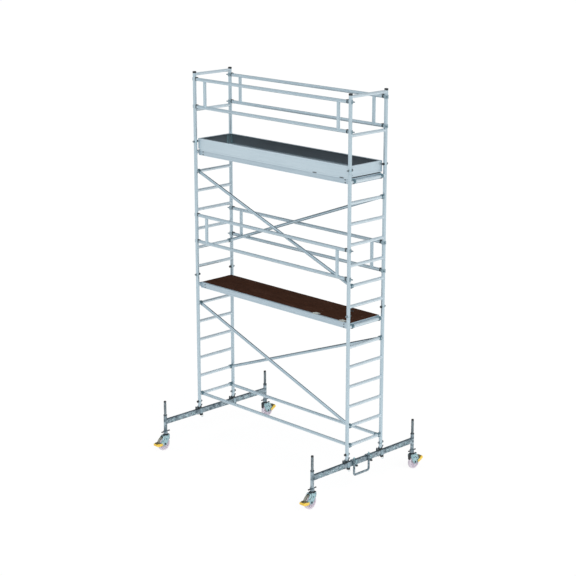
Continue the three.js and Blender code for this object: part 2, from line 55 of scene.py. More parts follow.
BASE_LOW, BASE_HIGH = cad_box("base_frame_right")
POST_FOOT = BASE_LOW.z
BASE_TOP = cad_box("upper_frame_right")[0].z
UPPER_TOP, GUARD_TOP = (corner.z for corner in cad_box("guard_frame_right"))
POST_X = (BASE_LOW.x + BASE_HIGH.x) / 2
POST_Y, CASTOR_Y = 337.5, 1005
RUNG_FIRST, RUNG_PITCH = 700, 280
RUNG_Z = [RUNG_FIRST + i * RUNG_PITCH for i in range(14)]
DECKS = {"lower": RUNG_Z[6], "upper": RUNG_Z[13]}
SIDES = {"left": -1, "right": 1}
FACES = {"front": -1, "rear": 1}
CORNERS = {
    "front_left": (-1, -1),
    "front_right": (1, -1),
    "rear_left": (-1, 1),
    "rear_right": (1, 1),
}
X, Y, Z = Vector((1, 0, 0)), Vector((0, 1, 0)), Vector((0, 0, 1))


# ------------------------------------------------------------------ materials


def linear(hex_colour):
    """An sRGB hex colour as linear RGBA."""
    channels = [int(hex_colour[i : i + 2], 16) / 255 for i in (0, 2, 4)]
    return [c / 12.92 if c < 0.04045 else ((c + 0.055) / 1.055) ** 2.4 for c in channels] + [1]


class Graph:
    """Short calls for the nodes of a material or of the sky."""

    def __init__(self, tree, coordinates):
        self.nodes, self.links = tree.nodes, tree.links
        self.where = self.node("TexCoord").outputs[coordinates]

    def feed(self, socket, value):
        """Sets a socket to a value, or links another socket to it."""
        if isinstance(value, bpy.types.NodeSocket):
            self.links.new(value, socket)
        else:
            socket.default_value = value

    def node(self, kind, **inputs):
        node = self.nodes.new("ShaderNode" + kind)
        for name, value in inputs.items():
            self.feed(node.inputs[name.replace("_", " ")], value)
        return node

    def mapped(self, scale):
        return self.node("Mapping", Scale=scale, Vector=self.where).outputs["Vector"]

    def noise(self, scale, stretch=(1, 1, 1), detail=4, rough=0.55):
        place = self.mapped(stretch)
        node = self.node("TexNoise", Scale=scale, Detail=detail, Roughness=rough, Vector=place)
        return node.outputs["Fac"]

    def cells(self, scale):
        return self.node("TexVoronoi", Scale=scale, Vector=self.mapped((1, 1, 1))).outputs["Color"]

    def bands(self, scale, direction):
        node = self.node("TexWave", Scale=scale, Vector=self.where)
        node.bands_direction = direction
        return node.outputs["Fac"]

    def ramp(self, value, stops):
        node = self.node("ValToRGB", Fac=value)
        elements = node.color_ramp.elements
        while len(elements) < len(stops):
            elements.new(0.5)
        for element, (position, *rgb) in zip(elements, stops):
            element.position, element.color = position, (*rgb, 1)
        return node.outputs["Color"]

    def tones(self, value, dark, light, low=0.3, high=0.7):
        """From the dark to the light colour as the value rises."""
        return self.ramp(value, [(low, *linear(dark)[:3]), (high, *linear(light)[:3])])

    def spread(self, value, low, high, start=0.3, end=0.7):
        limits = {"From_Min": start, "From_Max": end, "To_Min": low, "To_Max": high}
        return self.node("MapRange", Value=value, **limits).outputs["Result"]

    def math(self, kind, *values):
        node = self.node("Math")
        node.operation = kind
        for socket, value in zip(node.inputs, values):
            self.feed(socket, value)
        return node.outputs["Value"]

    def blend(self, factor, a, b, kind="MIX"):
        """Sockets 0, 6 and 7 of a colour mix are its factor and its two colours."""
        node = self.node("Mix")
        node.data_type, node.blend_type = "RGBA", kind
        for socket, value in ((0, factor), (6, a), (7, b)):
            self.feed(node.inputs[socket], value)
        return node.outputs[2]


class Shader(Graph):
    """A Principled material, textured in the piece's own frame, whose lengths are in metres."""

    def __init__(self, name, slot, metallic=0.0, roughness=0.5):
        self.material = bpy.data.materials.new(name)
        self.material.use_nodes = True
        self.material["record_slot"] = slot
        super().__init__(self.material.node_tree, "Object")
        self.inputs = self.nodes["Principled BSDF"].inputs
        self.inputs["Metallic"].default_value = metallic
        self.inputs["Roughness"].default_value = roughness

    def bump(self, height, distance, strength=1.0):
        node = self.node("Bump", Strength=strength, Distance=distance, Height=height)
        self.feed(self.inputs["Normal"], node.outputs["Normal"])

    def finish(self, colour, roughness=None):
        self.feed(self.inputs["Base Color"], colour)
        if roughness is not None:
            self.feed(self.inputs["Roughness"], roughness)
        return self.material


WHITE = (1, 1, 1)


def extruded_aluminium(name, slot, along, light, dark, metallic=0.65, roughness=(0.30, 0.42)):
    """Mill-finish extrusion: fine die lines along one axis, faint handling marks across it."""
    s = Shader(name, slot, metallic)
    stretch = [1.5 if axis == along else 220 for axis in "XYZ"]
    lines = s.noise(1.0, stretch, detail=3, rough=0.6)
    cloud = s.noise(2.6, detail=5, rough=0.6)
    specks = s.noise(55.0, detail=2)
    worn = s.ramp(cloud, [(0.35, 0.86, 0.88, 0.90), (0.65, *WHITE)])
    colour = s.blend(0.3, s.tones(lines, dark, light, 0.25, 0.75), worn, "MULTIPLY")
    rough = s.math("ADD", s.spread(lines, *roughness), s.spread(specks, -0.03, 0.05))
    s.bump(lines, 0.0002, 0.22)
    return s.finish(colour, rough)


def galvanised_steel(name, light, dark, spangle):
    """Hot-dip zinc: crystal spangle over a blotchy ground, matt where it has weathered."""
    s = Shader(name, "galvanised_steel", metallic=0.6)
    facets = s.tones(s.cells(spangle), dark, light, 0.2, 0.8)
    cloud = s.noise(9.0, detail=6, rough=0.65)
    grime = s.ramp(cloud, [(0.36, 0.62, 0.66, 0.68), (0.62, *WHITE)])
    s.bump(s.noise(160.0, detail=2), 0.0003, 0.4)
    return s.finish(s.blend(0.8, facets, grime, "MULTIPLY"), s.spread(cloud, 0.62, 0.40))


def plated_steel(name, slot, light, dark, roughness=(0.28, 0.45), metallic=0.7, grain=260.0):
    """Zinc-plated or cast steel with a slightly uneven coat."""
    s = Shader(name, slot, metallic)
    cloud = s.noise(24.0, detail=5, rough=0.6)
    s.bump(s.noise(grain, detail=3), 0.0002, 0.5)
    return s.finish(s.tones(cloud, dark, light), s.spread(cloud, roughness[1], roughness[0]))


def moulded_plastic(name, slot, light, dark, roughness=(0.38, 0.55)):
    """Moulded plastic or a sprayed coat: a fine even texture and scuffs that dull it."""
    s = Shader(name, slot)
    scuffs = s.noise(38.0, (1, 1, 0.4), detail=6, rough=0.7)
    s.bump(s.noise(420.0, detail=1), 0.00012, 0.5)
    return s.finish(s.tones(scuffs, dark, light, 0.3, 0.62), s.spread(scuffs, roughness[1], roughness[0]))


def phenolic_plywood(name, slot, light, dark, scuff):
    """Film-faced birch ply: a pressed wire-mesh grip, grain showing through, pale scuffs."""
    s = Shader(name, slot, roughness=0.7)
    s.inputs["Specular IOR Level"].default_value = 0.02
    grain = s.noise(5.0, (1.2, 26, 60), detail=7, rough=0.7)
    patches = s.noise(3.2, (0.6, 2.2, 1), detail=4)
    fibres = s.noise(16.0, (1.0, 18, 1), detail=8, rough=0.8)
    tread = s.spread(patches, 0.0, 0.45, 0.5, 0.72)
    marks = s.math("MULTIPLY", tread, s.spread(fibres, 0.0, 1.0, 0.48, 0.66))
    mesh = s.math("MAXIMUM", s.bands(95.0, "X"), s.bands(95.0, "Y"))
    s.bump(s.math("ADD", mesh, s.math("MULTIPLY", grain, 0.8)), 0.0005, 0.6)
    colour = s.blend(marks, s.tones(grain, dark, light, 0.32, 0.68), linear(scuff))
    return s.finish(colour, s.spread(patches, 0.8, 0.62))


def ply_edge(name, slot, light, dark):
    """The cut edge of plywood, in bands of veneer, sealed with a dark coat."""
    s = Shader(name, slot, roughness=0.7)
    fibres = s.noise(30.0, (2, 2, 12), detail=5)
    s.bump(fibres, 0.0003, 0.4)
    return s.finish(s.blend(0.35, s.tones(s.bands(260.0, "Z"), dark, light), s.tones(fibres, dark, light)))


def aluminium_set(name, slot, light, dark, axes="XY"):
    """One material for each axis that a piece is drawn along."""
    return {a: extruded_aluminium(f"{name}_{a}", slot, a, light, dark) for a in axes}


ALU = aluminium_set("tube_aluminium", "aluminium_tube", "C6D6DE", "AEC2CC", "XZ")
# The cross tubes along Y are the same tube as the posts with lighter colours: painted light on the rungs.
ALU["Y"] = extruded_aluminium("rung_aluminium_painted_light", "aluminium_tube", "Y", "DDE9EF", "CAD9E1")
# The sloping braces get a darker, more mirror-like copy of the tube aluminium: its darker tint is painted
# shade.
SHADED_BRACE_ALU = extruded_aluminium(
    "brace_aluminium_painted_shade", "aluminium_tube", "X", "BFD0D8", "A3B7C2", metallic=0.95, roughness=(0.15, 0.24)
)
DECK_ALU = aluminium_set("deck_aluminium", "deck_extrusion", "C1D1DA", "AABCC7")
BOARD_ALU = aluminium_set("board_aluminium", "toe_board_extrusion", "CBDAE2", "BFD0D9")
# A darker copy of the board aluminium for the toe boards' inner faces: painted shade.
BOARD_SHADE = aluminium_set("board_inside_painted_shade", "toe_board_extrusion", "8D979E", "808B93")
GALVANISED = galvanised_steel("galvanised_steel", "A9B9C1", "63747D", 34.0)
# A darker copy of the galvanised steel for the beam's top flange: painted shade along its top.
TOP_FLANGE_SHADE_ZINC = galvanised_steel("top_flange_painted_shade", "7C8D96", "47565E", 34.0)
# Pale zinc for plates inside the beam's slots: painted light, standing for the bright background seen
# through them.
SLOT_LIGHT_ZINC = galvanised_steel("slot_backing_painted_light", "D6E2E7", "A9BBC3", 60.0)
ZINC = plated_steel("blue_zinc", "zinc_steel", "B2CFD4", "8BB0B8")
CLAMP_ZINC = plated_steel("clamp_zinc", "zinc_steel", "A3B6BF", "7F97A2")
PIN_ZINC = plated_steel("pin_zinc", "dark_steel", "8C979C", "5F6B71")
CLAW_ZINC = plated_steel("claw_zinc", "zinc_steel", "7D99A3", "56737F")
DARK = plated_steel("dark_casting", "dark_steel", "4C565B", "2C3337", (0.42, 0.62), 0.45, 140.0)
SCREW = plated_steel("thread_steel", "screw_steel", "8D999F", "596469", (0.3, 0.5), 0.75)
BLACK = moulded_plastic("black_plastic", "dark_steel", "24282B", "16191B")
YELLOW = moulded_plastic("yellow_coat", "yellow_plastic", "F5D255", "E3B93C", (0.3, 0.5))
HINGE = plated_steel("hinge_leaf", "deck_extrusion", "D9DBD3", "BFC3BC", (0.4, 0.55), 0.3)
STRAP = plated_steel("guard_strap", "zinc_steel", "A6A89F", "83867F", (0.5, 0.66), 0.35)
# Olive is the yellow coat's tone in shade: painted shade on the brake's linkage, release, tread block, rod
# and the strap's edges.
OLIVE_SHADE = moulded_plastic("olive_painted_shade", "dark_steel", "6B6236", "3F3B25")
NYLON = moulded_plastic("white_polyamide", "white_polyamide", "D6CDD7", "C0B6C2", (0.32, 0.5))
PLY = {
    "lower": phenolic_plywood("brown_plywood", "lower_plywood", "513325", "28170F", "725040"),
    "upper": phenolic_plywood("grey_plywood", "upper_plywood", "3C3B41", "29282D", "504F57"),
}
EDGE = {
    "lower": ply_edge("brown_ply_edge", "lower_plywood", "5E4130", "2E1D15"),
    "upper": ply_edge("grey_ply_edge", "upper_plywood", "5B5658", "353236"),
}

# ------------------------------------------------------------------ mesh building


class Build:
    """Collects faces from the calls below, then make() turns them into one object.

    place maps what is being drawn into the row frame, or into the piece's own frame."""

    def __init__(self, place=None):
        self.verts, self.faces, self.slots, self.materials = [], [], [], []
        self.place = place or Matrix.Identity(4)

    def add(self, verts, faces, material):
        if material not in self.materials:
            self.materials.append(material)
        slot, start = self.materials.index(material), len(self.verts)
        flip = self.place.determinant() < 0
        self.verts += [self.place @ Vector(v) for v in verts]
        for f in faces:
            face = [start + i for i in f]
            self.faces.append(face[::-1] if flip else face)
            self.slots.append(slot)

    def loft(self, rings, material, caps=True, loop=False):
        """Quads between rings of equal length. Rings turn anticlockwise seen from the end."""
        n, count = len(rings[0]), len(rings)
        verts = [p for ring in rings for p in ring]
        faces = []
        for k in range(count if loop else count - 1):
            a, b = k * n, ((k + 1) % count) * n
            faces += [(a + i, a + (i + 1) % n, b + (i + 1) % n, b + i) for i in range(n)]
        if caps and not loop:
            faces.append(tuple(reversed(range(n))))
            faces.append(tuple((count - 1) * n + i for i in range(n)))
        self.add(verts, faces, material)

    def turned(self, origin, axis, profile, material, sides=32, loop=False):
        """Revolves (radius, height) points about an axis. Heights rise along the outside."""
        u, v, w = basis(axis)
        origin = Vector(origin)
        rings = [
            [origin + w * h + (u * math.cos(a) + v * math.sin(a)) * r for a in turns(sides)]
            for r, h in profile
        ]
        self.loft(rings, material, caps=not loop, loop=loop)

    def rod(self, p, q, radius, material, sides=32, chamfer=0):
        """A solid bar with flat or chamfered ends."""
        p, q = Vector(p), Vector(q)
        length, c = (q - p).length, chamfer
        profile = [(radius, 0), (radius, length)]
        if c:
            profile = [(radius - c, 0), (radius, c), (radius, length - c), (radius - c, length)]
        self.turned(p, q - p, profile, material, sides)

    def tube(self, p, q, radius, wall, material, sides=36):
        """A tube with open ends, its edges slightly broken."""
        p, q = Vector(p), Vector(q)
        length, c, r, inner = (q - p).length, wall * 0.3, radius, radius - wall
        profile = [
            (r - c, 0), (r, c), (r, length - c), (r - c, length),
            (inner + c, length), (inner, length - c), (inner, c), (inner + c, 0),
        ]
        self.turned(p, q - p, profile, material, sides, loop=True)

    def sweep(self, path, radius, material, sides=12, closed=False):
        """A round bar along a smooth path of points."""
        path = [Vector(p) for p in path]
        n = len(path)
        tangents = []
        for i in range(n):
            before = path[i - 1] if closed or i else path[i]
            after = path[(i + 1) % n] if closed or i < n - 1 else path[i]
            tangents.append((after - before).normalized())
        u = basis(tangents[0])[0]
        rings = []
        for point, t in zip(path, tangents):
            u = (u - t * u.dot(t)).normalized()
            v = t.cross(u)
            r = radius(len(rings)) if callable(radius) else radius
            rings.append([point + (u * math.cos(a) + v * math.sin(a)) * r for a in turns(sides)])
        self.loft(rings, material, loop=closed)

    def prism(self, outline, axis, low, high, material, edge=0.8, holes=()):
        """A flat outline with broken edges, and holes through it, drawn out along an axis.
        The points are (y, z) along X, (x, z) along Y and (x, y) along Z."""
        loops = [outline if area(outline) > 0 else outline[::-1]]
        loops += [h[::-1] if area(h) > 0 else h for h in holes]
        inner = [inset(ring, edge) for ring in loops]
        for ring, narrow in zip(loops, inner):
            stack = [(narrow, low), (ring, low + edge), (ring, high - edge), (narrow, high)]
            if not edge:
                stack = [(ring, low), (ring, high)]
            rings = [[lift(axis, a, b, t) for a, b in points] for points, t in stack]
            self.loft(rings[::-1] if axis == "Y" else rings, material, caps=False)
        flat = [point for ring in inner for point in ring]
        tris = tessellate_polygon([[Vector((a, b, 0)) for a, b in ring] for ring in inner])
        for t, up in ((low, axis == "Y"), (high, axis != "Y")):
            faces = []
            for tri in tris:
                ccw = area([flat[i] for i in tri]) > 0
                faces.append(tuple(tri) if ccw == up else tuple(tri)[::-1])
            self.add([lift(axis, a, b, t) for a, b in flat], faces, material)

    def box(self, low, high, material, edge=0.8):
        (x0, y0, z0), (x1, y1, z1) = low, high
        self.prism(rectangle(x0, x1, y0, y1), "Z", z0, z1, material, edge)

    def hex_head(self, centre, axis, across, height, material):
        """A bolt head or nut with its corners turned down."""
        u, v, w = basis(axis)
        centre, r = Vector(centre), across / math.sqrt(3)
        rings = []
        for h, scale in ((0, 0.93), (0.14, 1), (0.8, 1), (1, 0.86)):
            ring = [(u * math.cos(a) + v * math.sin(a)) * r * scale for a in turns(6)]
            rings.append([centre + w * h * height + p for p in ring])
        self.loft(rings, material)

    def rivet(self, centre, axis, radius, height, material):
        dome = ((1, 0), (0.92, 0.5), (0.6, 0.9), (0.2, 1))
        self.turned(centre, axis, [(radius * r, height * h) for r, h in dome], material, 16)

    def saddle(self, axis_point, along, towards, post_r, bar_r, material):
        """The weld round a bar of bar_r that meets a post of post_r. along is the post's
        direction and towards is the bar's."""
        along, towards = Vector(along), Vector(towards)
        side = along.cross(towards)
        path = []
        for a in turns(28):
            offset = bar_r * math.sin(a)
            depth = math.sqrt(max(post_r**2 - offset**2, 0)) - 0.4
            rise = along * (bar_r * math.cos(a))
            path.append(Vector(axis_point) + towards * depth + side * offset + rise)
        self.sweep(path, bead(2.8, 0.14), material, 6, closed=True)

    def make(self, name, body, replaces=(), slot=None, at=None):
        mesh = bpy.data.meshes.new(name)
        mesh.from_pydata([tuple(v * MM) for v in self.verts], [], self.faces)
        for material in self.materials:
            mesh.materials.append(material)
        mesh.polygons.foreach_set("material_index", self.slots)
        mesh.polygons.foreach_set("use_smooth", [True] * len(self.faces))
        mesh.validate()
        mesh.set_sharp_from_angle(angle=math.radians(38))
        return show(mesh, name, body, replaces, slot or self.materials[0]["record_slot"], at)


def show(mesh, name, body, replaces, slot, at=None):
    """Links a mesh as a piece that rides on a body, at its own place."""
    piece = bpy.data.objects.new(name, mesh)
    bpy.context.scene.collection.objects.link(piece)
    place = (at or Matrix.Identity(4)).copy()
    place.translation *= MM
    piece.matrix_world = place
    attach(piece, body)
    if replaces:
        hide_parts(*replaces)
    return piece


def bead(radius, ripple):
    """The rippled radius of a weld bead along its path."""
    return lambda i: radius * (1 + ripple * (i % 2))


def turns(sides):
    return [2 * math.pi * i / sides for i in range(sides)]


def circle(radius, sides):
    return [(radius * math.cos(a), radius * math.sin(a)) for a in turns(sides)]


def basis(axis):
    """Three unit vectors of which the third is the axis."""
    w = Vector(axis).normalized()
    u = (Z if abs(w.z) < 0.9 else X).cross(w).normalized()
    return u, w.cross(u), w


def lift(axis, a, b, t):
    return {"X": (t, a, b), "Y": (a, t, b), "Z": (a, b, t)}[axis]


def area(ring):
    return sum(a[0] * b[1] - b[0] * a[1] for a, b in zip(ring, ring[1:] + ring[:1])) / 2


def inset(ring, distance):
    """Moves each side of an anticlockwise outline inwards."""
    out = []
    for before, here, after in zip(ring[-1:] + ring[:-1], ring, ring[1:] + ring[:1]):
        d1 = (Vector(here) - Vector(before)).normalized()
        d2 = (Vector(after) - Vector(here)).normalized()
        n1, n2 = Vector((-d1.y, d1.x)), Vector((-d2.y, d2.x))
        mitre = n1 + n2
        size = max(mitre.length_squared, 0.5)
        out.append(tuple(Vector(here) + mitre * (2 * distance / size)))
    return out


def arc(cx, cy, radius, start, end, steps):
    """Points of an arc, angles in degrees."""
    angles = [math.radians(start + (end - start) * i / steps) for i in range(steps + 1)]
    return [(cx + radius * math.cos(a), cy + radius * math.sin(a)) for a in angles]


def hook(cx, cy, inner, outer, start, end, steps):
    """The outline of a bent strip with a rounded free end."""
    mid, half = (inner + outer) / 2, (outer - inner) / 2
    tip = math.radians(start)
    nose = arc(cx + mid * math.cos(tip), cy + mid * math.sin(tip), half, start - 180, start, 6)
    return nose[1:-1] + arc(cx, cy, outer, start, end, steps) + arc(cx, cy, inner, end, start, steps)


def rectangle(x0, x1, y0, y1):
    return [(x0, y0), (x1, y0), (x1, y1), (x0, y1)]


def rounded(x0, x1, y0, y1, r, steps):
    """A rectangle with round corners."""
    return (
        arc(x1 - r, y1 - r, r, 0, 90, steps) + arc(x0 + r, y1 - r, r, 90, 180, steps)
        + arc(x0 + r, y0 + r, r, 180, 270, steps) + arc(x1 - r, y0 + r, r, 270, 360, steps)
    )


def soften(points, radius):
    """Rounds the corners of an outline."""
    out = []
    for before, here, after in zip(points[-1:] + points[:-1], points, points[1:] + points[:1]):
        p, a, b = Vector(here), Vector(before), Vector(after)
        r = min(radius, (a - p).length * 0.45, (b - p).length * 0.45)
        start, end = p + (a - p).normalized() * r, p + (b - p).normalized() * r
        for t in (0, 0.25, 0.5, 0.75, 1):
            out.append(tuple(start * (1 - t) ** 2 + p * (2 * t * (1 - t)) + end * t * t))
    return out


def span(side, near, far):
    """The low and high end of a plate that lies from near to far on one side of the middle."""
    return sorted((side * near, side * far))


def at_point(x, y, z, mirror_x=1, mirror_y=1):
    return Matrix.Translation((x, y, z)) @ Matrix.Diagonal((mirror_x, mirror_y, 1, 1))


# ------------------------------------------------------------------ end frames

POST_R, RUNG_R, WALL = 25, 22, 2
GUARD_RAILS = [4949, 5453]
JOINT_GAP, SPIGOT = 0.6, 110
PIN_HEIGHTS = (581, BASE_TOP + 46, UPPER_TOP + 46)


def cross_tube(build, x, z, grip):
    """A cross tube between the posts, with shallow grip flutes on a rung, and its welds."""
    reach = POST_Y - 18
    u, v, _ = basis(Y)
    radii = [RUNG_R - (0.5 if grip and i % 4 == 0 else 0) for i in range(48)]
    rings = [
        [Vector((x, y, z)) + (u * math.cos(a) + v * math.sin(a)) * r for a, r in zip(turns(48), radii)]
        for y in (-reach, reach)
    ]
    build.loft(rings, ALU["Y"])
    for sign in (-1, 1):
        build.saddle((x, sign * POST_Y, z), Z, Y * -sign, POST_R, RUNG_R, ALU["Y"])


def end_frame(node, x, low, high, heights, ladder):
    """Two posts and their cross tubes. A ladder frame has grip rungs and a spigot on each post."""
    build = Build()
    for y in (-POST_Y, POST_Y):
        build.tube((x, y, low), (x, y, high), POST_R, WALL, ALU["Z"], 44)
        if ladder:
            bottom, top = (x, y, high - 30), (x, y, high + SPIGOT)
            build.tube(bottom, top, POST_R - WALL - JOINT_GAP, 2.5, ALU["Z"])
    for z in heights:
        cross_tube(build, x, z, ladder)
    build.make(f"{node}_welded", "tower", [node])


def locking_pin(build, x, y, z, out):
    """A spring pin through a post: a plain knob and a black one, and a wire round the post."""
    for face, material, length, r in ((out, PIN_ZINC, 24, 14), (-out, BLACK, 23, 17.5)):
        hub = Vector((x, y + face * (POST_R - 1), z))
        knob = [(r - 4, 0), (r, 2), (r, length - 6), (r - 3, length - 1), (2, length)]
        build.turned(hub, Y * face, knob, material, 20)
    build.rod((x, y - 31, z), (x, y + 31, z), 4, SCREW, 12, 1)
    ring = []
    for a in turns(36):
        droop = 4 + 12 * math.cos(a)
        ring.append((x + 29 * math.sin(a), y + out * 29 * math.cos(a), z - droop))
    build.sweep(ring, 2.4, ZINC, 8, closed=True)


for side, sign in SIDES.items():
    x = sign * POST_X
    end_frame(f"base_frame_{side}", x, POST_FOOT, BASE_TOP - JOINT_GAP, RUNG_Z[:7], True)
    end_frame(f"upper_frame_{side}", x, BASE_TOP, UPPER_TOP - JOINT_GAP, RUNG_Z[7:], True)
    end_frame(f"guard_frame_{side}", x, UPPER_TOP, GUARD_TOP, GUARD_RAILS, False)
    for face, out in FACES.items():
        trim = Build()
        for z in PIN_HEIGHTS:
            locking_pin(trim, x, out * POST_Y, z, -out if z < BASE_TOP else out)
        cap = [(26.2, 0), (26.6, 2), (26.6, 20), (24.5, 24.5), (10, 26), (1, 26)]
        trim.turned((x, out * POST_Y, GUARD_TOP - 18), Z, cap, BLACK, 36)
        trim.make(f"post_trim_{face}_{side}", "tower", slot="dark_steel")

# ------------------------------------------------------------------ braces

BRACE_R, BRACE_END = 22, 44


def rung_claw(build, slope):
    """The claw at a brace's end, in a frame at the rung with +X away from the tube."""
    jaw = hook(0, 0, 23, 31.5, -50, 190, 26)
    build.prism(jaw, "Y", -19.5, 19.5, CLAW_ZINC, 1.2)
    rings = []
    for a, wide, tall, power in ((-66, 21.5, 21.5, 2), (-48, 23.2, 23.2, 2),
                                 (-42, 23.2, 22.5, 2.4), (-33, 20, 17.5, 4),
                                 (-24, 19, 12, 6)):
        drop = slope * a if a < -30 else slope * a * 0.5
        ring = []
        for angle in turns(28):
            c, s = math.cos(angle), math.sin(angle)
            size = (abs(c) ** power + abs(s) ** power) ** (-1 / power)
            ring.append((a, wide * c * size, drop + tall * s * size))
        rings.append(ring)
    build.loft(rings, CLAW_ZINC)
    latch = [(-27, -21), (11, -31), (15, -28), (-24, -18)]
    build.prism(soften(latch, 2), "Y", -11, 11, BLACK)
    face = [(12, 0), (12, 1.6), (10.5, 2.4), (6, 2.4), (5, 1.2), (1, 1.2)]
    build.turned((30.6, 0, 4), X, face, ALU["Z"], 24)
    for y in (-11.5, 11.5):
        build.rivet((-50, y, 19.8 + slope * -50), Z, 3.5, 2, SCREW)


def brace(node, y, z_left, z_right):
    """A tube between two rungs, level or sloping, with a claw at each end."""
    build = Build()
    slope = (z_right - z_left) / (2 * POST_X)
    reach = POST_X - BRACE_END
    middle = (z_left + z_right) / 2
    # Sloping braces take the darker copy of the tube aluminium, which is painted shade; a level brace takes
    # the plain tube.
    build.tube((-reach, y, middle - slope * reach), (reach, y, middle + slope * reach), BRACE_R, WALL,
               SHADED_BRACE_ALU if slope else ALU["X"])
    for sign, z in ((-1, z_left), (1, z_right)):
        build.place = at_point(sign * POST_X, y, z, sign)
        rung_claw(build, sign * slope)
    build.make(f"{node}_tube", "tower", [node])


BRACE_Y = 290
BRACES = (
    ("base_brace", 0, 0, 0, 0),
    ("lower_diagonal", 5, 1, 1, 5),
    ("upper_diagonal", 12, 8, 8, 12),
)
for name, front_left, front_right, rear_left, rear_right in BRACES:
    brace(f"{name}_front", -BRACE_Y, RUNG_Z[front_left], RUNG_Z[front_right])
    brace(f"{name}_rear", BRACE_Y, RUNG_Z[rear_left], RUNG_Z[rear_right])

# ------------------------------------------------------------------ guardrails

RAIL_R, RAIL_END, UPRIGHT_X = 23.5, 1472, 1300


def post_claw(build):
    """The claw at a rail's end, in a frame at the post: +X outwards, +Y to the inner side."""
    build.prism(hook(0, 0, 26.6, 32.5, -25, 168, 22), "Z", -24, 24, CLAMP_ZINC, 1.2)
    tip = [(26, 8), (54, 24), (51, 29), (20, 29)]
    build.prism(soften(tip, 3), "Z", -7, 7, CLAW_ZINC, 1)
    neck = [(-64, -14), (-42, -15), (-29, -7), (-27.5, 5), (-31, 15), (-44, 16), (-64, 14)]
    build.prism(soften(neck, 4), "Z", -19.5, 19.5, CLAMP_ZINC, 1.5)
    collar = [(21.5, 0), (24.5, 1), (24.8, 10), (23.8, 14), (21.5, 15)]
    build.turned((-56, 0, 0), X, collar, DARK, 32)
    latch = [(-80, 20), (-66, 22), (-40, 20), (-24, 17), (-22, 25), (-34, 32), (-58, 31), (-78, 26)]
    build.prism(soften(latch, 4), "Y", -8.5, 8.5, BLACK, 1)
    build.rod((-52, -11, 26.5), (-52, 11, 26.5), 3, SCREW, 12, 0.6)


def guardrail(node, y, inward, low, high):
    """Two rails and two uprights welded together, with a claw at each rail's end."""
    build = Build()
    for z in (low, high):
        build.tube((-RAIL_END, y, z), (RAIL_END, y, z), RAIL_R, WALL, ALU["X"], 40)
    for x in (-UPRIGHT_X, UPRIGHT_X):
        build.tube((x, y, low + 12), (x, y, high - 12), RAIL_R - 0.4, WALL, ALU["Z"])
        build.saddle((x, y, low), X, Z, RAIL_R, RAIL_R - 0.6, ALU["Z"])
        build.saddle((x, y, high), X, -Z, RAIL_R, RAIL_R - 0.6, ALU["Z"])
    for sign in (-1, 1):
        for z in (low, high):
            build.place = at_point(sign * POST_X, y, z, sign, inward)
            post_claw(build)
    build.make(f"{node}_welded", "tower", [node])


for level, deck in DECKS.items():
    for face, out in FACES.items():
        guardrail(f"{level}_guardrail_{face}", out * POST_Y, -out, deck + 658, deck + 1046)

# ------------------------------------------------------------------ platforms

DECK_X, DECK_Y = 1488, 300
PANEL_TOP, PANEL_BOTTOM, COVER = 40, 28, 0.8
HATCH_BOX = ((790, -268), (1390, 212))
HINGE_X, HINGE_Y, HINGE_ABOVE = (841, 1338), -272, 45.3
HOOK_Y = 266


def deck_rim(build):
    """The mitred frame: a web with two grooves, a lip over the wood, a ledge under it, a foot."""
    profile = [
        (0, -40), (16, -40), (16, -37.4), (2.6, -37.4), (2.6, 24), (45, 24), (45, 26.8), (3, 26.8),
        (3, 37.2), (28, 37.2), (28, 40), (0.6, 40), (0, 39), (0, 21), (1.3, 19.6), (1.3, 16.4), (0, 15),
        (0, -18), (1.3, -19.4), (1.3, -22.6), (0, -24),
    ]
    corners = [(-DECK_X, -DECK_Y), (DECK_X, -DECK_Y), (DECK_X, DECK_Y), (-DECK_X, DECK_Y)]
    rings = []
    for cx, cy in corners:
        rings.append([(cx - math.copysign(d, cx), cy - math.copysign(d, cy), z) for d, z in profile])
    for i in range(4):
        build.loft([rings[i], rings[(i + 1) % 4]], DECK_ALU["XY"[i % 2]], caps=False)


def deck_hook(build):
    """A platform's hook over a rung, in a frame at the rung, with its block, tongue and rivets."""
    build.prism(hook(0, 0, 23, 29.8, -35, 176, 22), "Y", -20, 20, CLAW_ZINC, 1)
    block = [(-27.2, -24), (-27.2, 31), (-14, 30), (-15, 20), (-23.5, 10), (-24.5, 0), (-25, -22)]
    build.prism(soften(block, 2), "Y", -22.5, 22.5, ZINC, 1)
    tongue = [(-26, -22), (8, -31), (12, -28), (-24, -19)]
    build.prism(soften(tongue, 2), "Y", -14, 14, BLACK)
    for z in (-26, 13):
        build.rivet((-118, 33.8, z), Y, 9.5, 4, BLACK)
    build.box((-27.2, 10, -34), (-24.5, 30, -8), DARK)


def deck_frame(level, deck):
    build = Build(Matrix.Translation((0, 0, deck)))
    deck_rim(build)
    (x0, _), (x1, y1) = HATCH_BOX
    for x in (-960, -430, 100, x0 - 5, x1 + 5):
        half = [(6, 2), (1.5, 2), (1.5, 22.6), (9, 22.6), (9, 25)]
        tee = [(x - a, z) for a, z in half[::-1]] + [(x - 6, -0.6), (x + 6, -0.6)]
        tee += [(x + a, z) for a, z in half]
        build.prism(tee, "Y", 2.6 - DECK_Y, DECK_Y - 2.6, DECK_ALU["Y"], 0.4)
    build.box((x0, y1 - 5, 1), (x1, y1 + 13, 24.5), DECK_ALU["X"])
    base = build.place
    for sx in (-1, 1):
        for sy in (-1, 1):
            build.place = base @ at_point(sx * POST_X, sy * HOOK_Y, 0, sx, sy)
            deck_hook(build)
    build.place = base
    for x in HINGE_X:
        hinge_leaf(build, x, -DECK_Y + 1, HINGE_Y - 6, ((-45, -17), (17, 45)), 1)
    build.make(f"{level}_platform_frame", "tower", [f"{level}_deck_frame"])


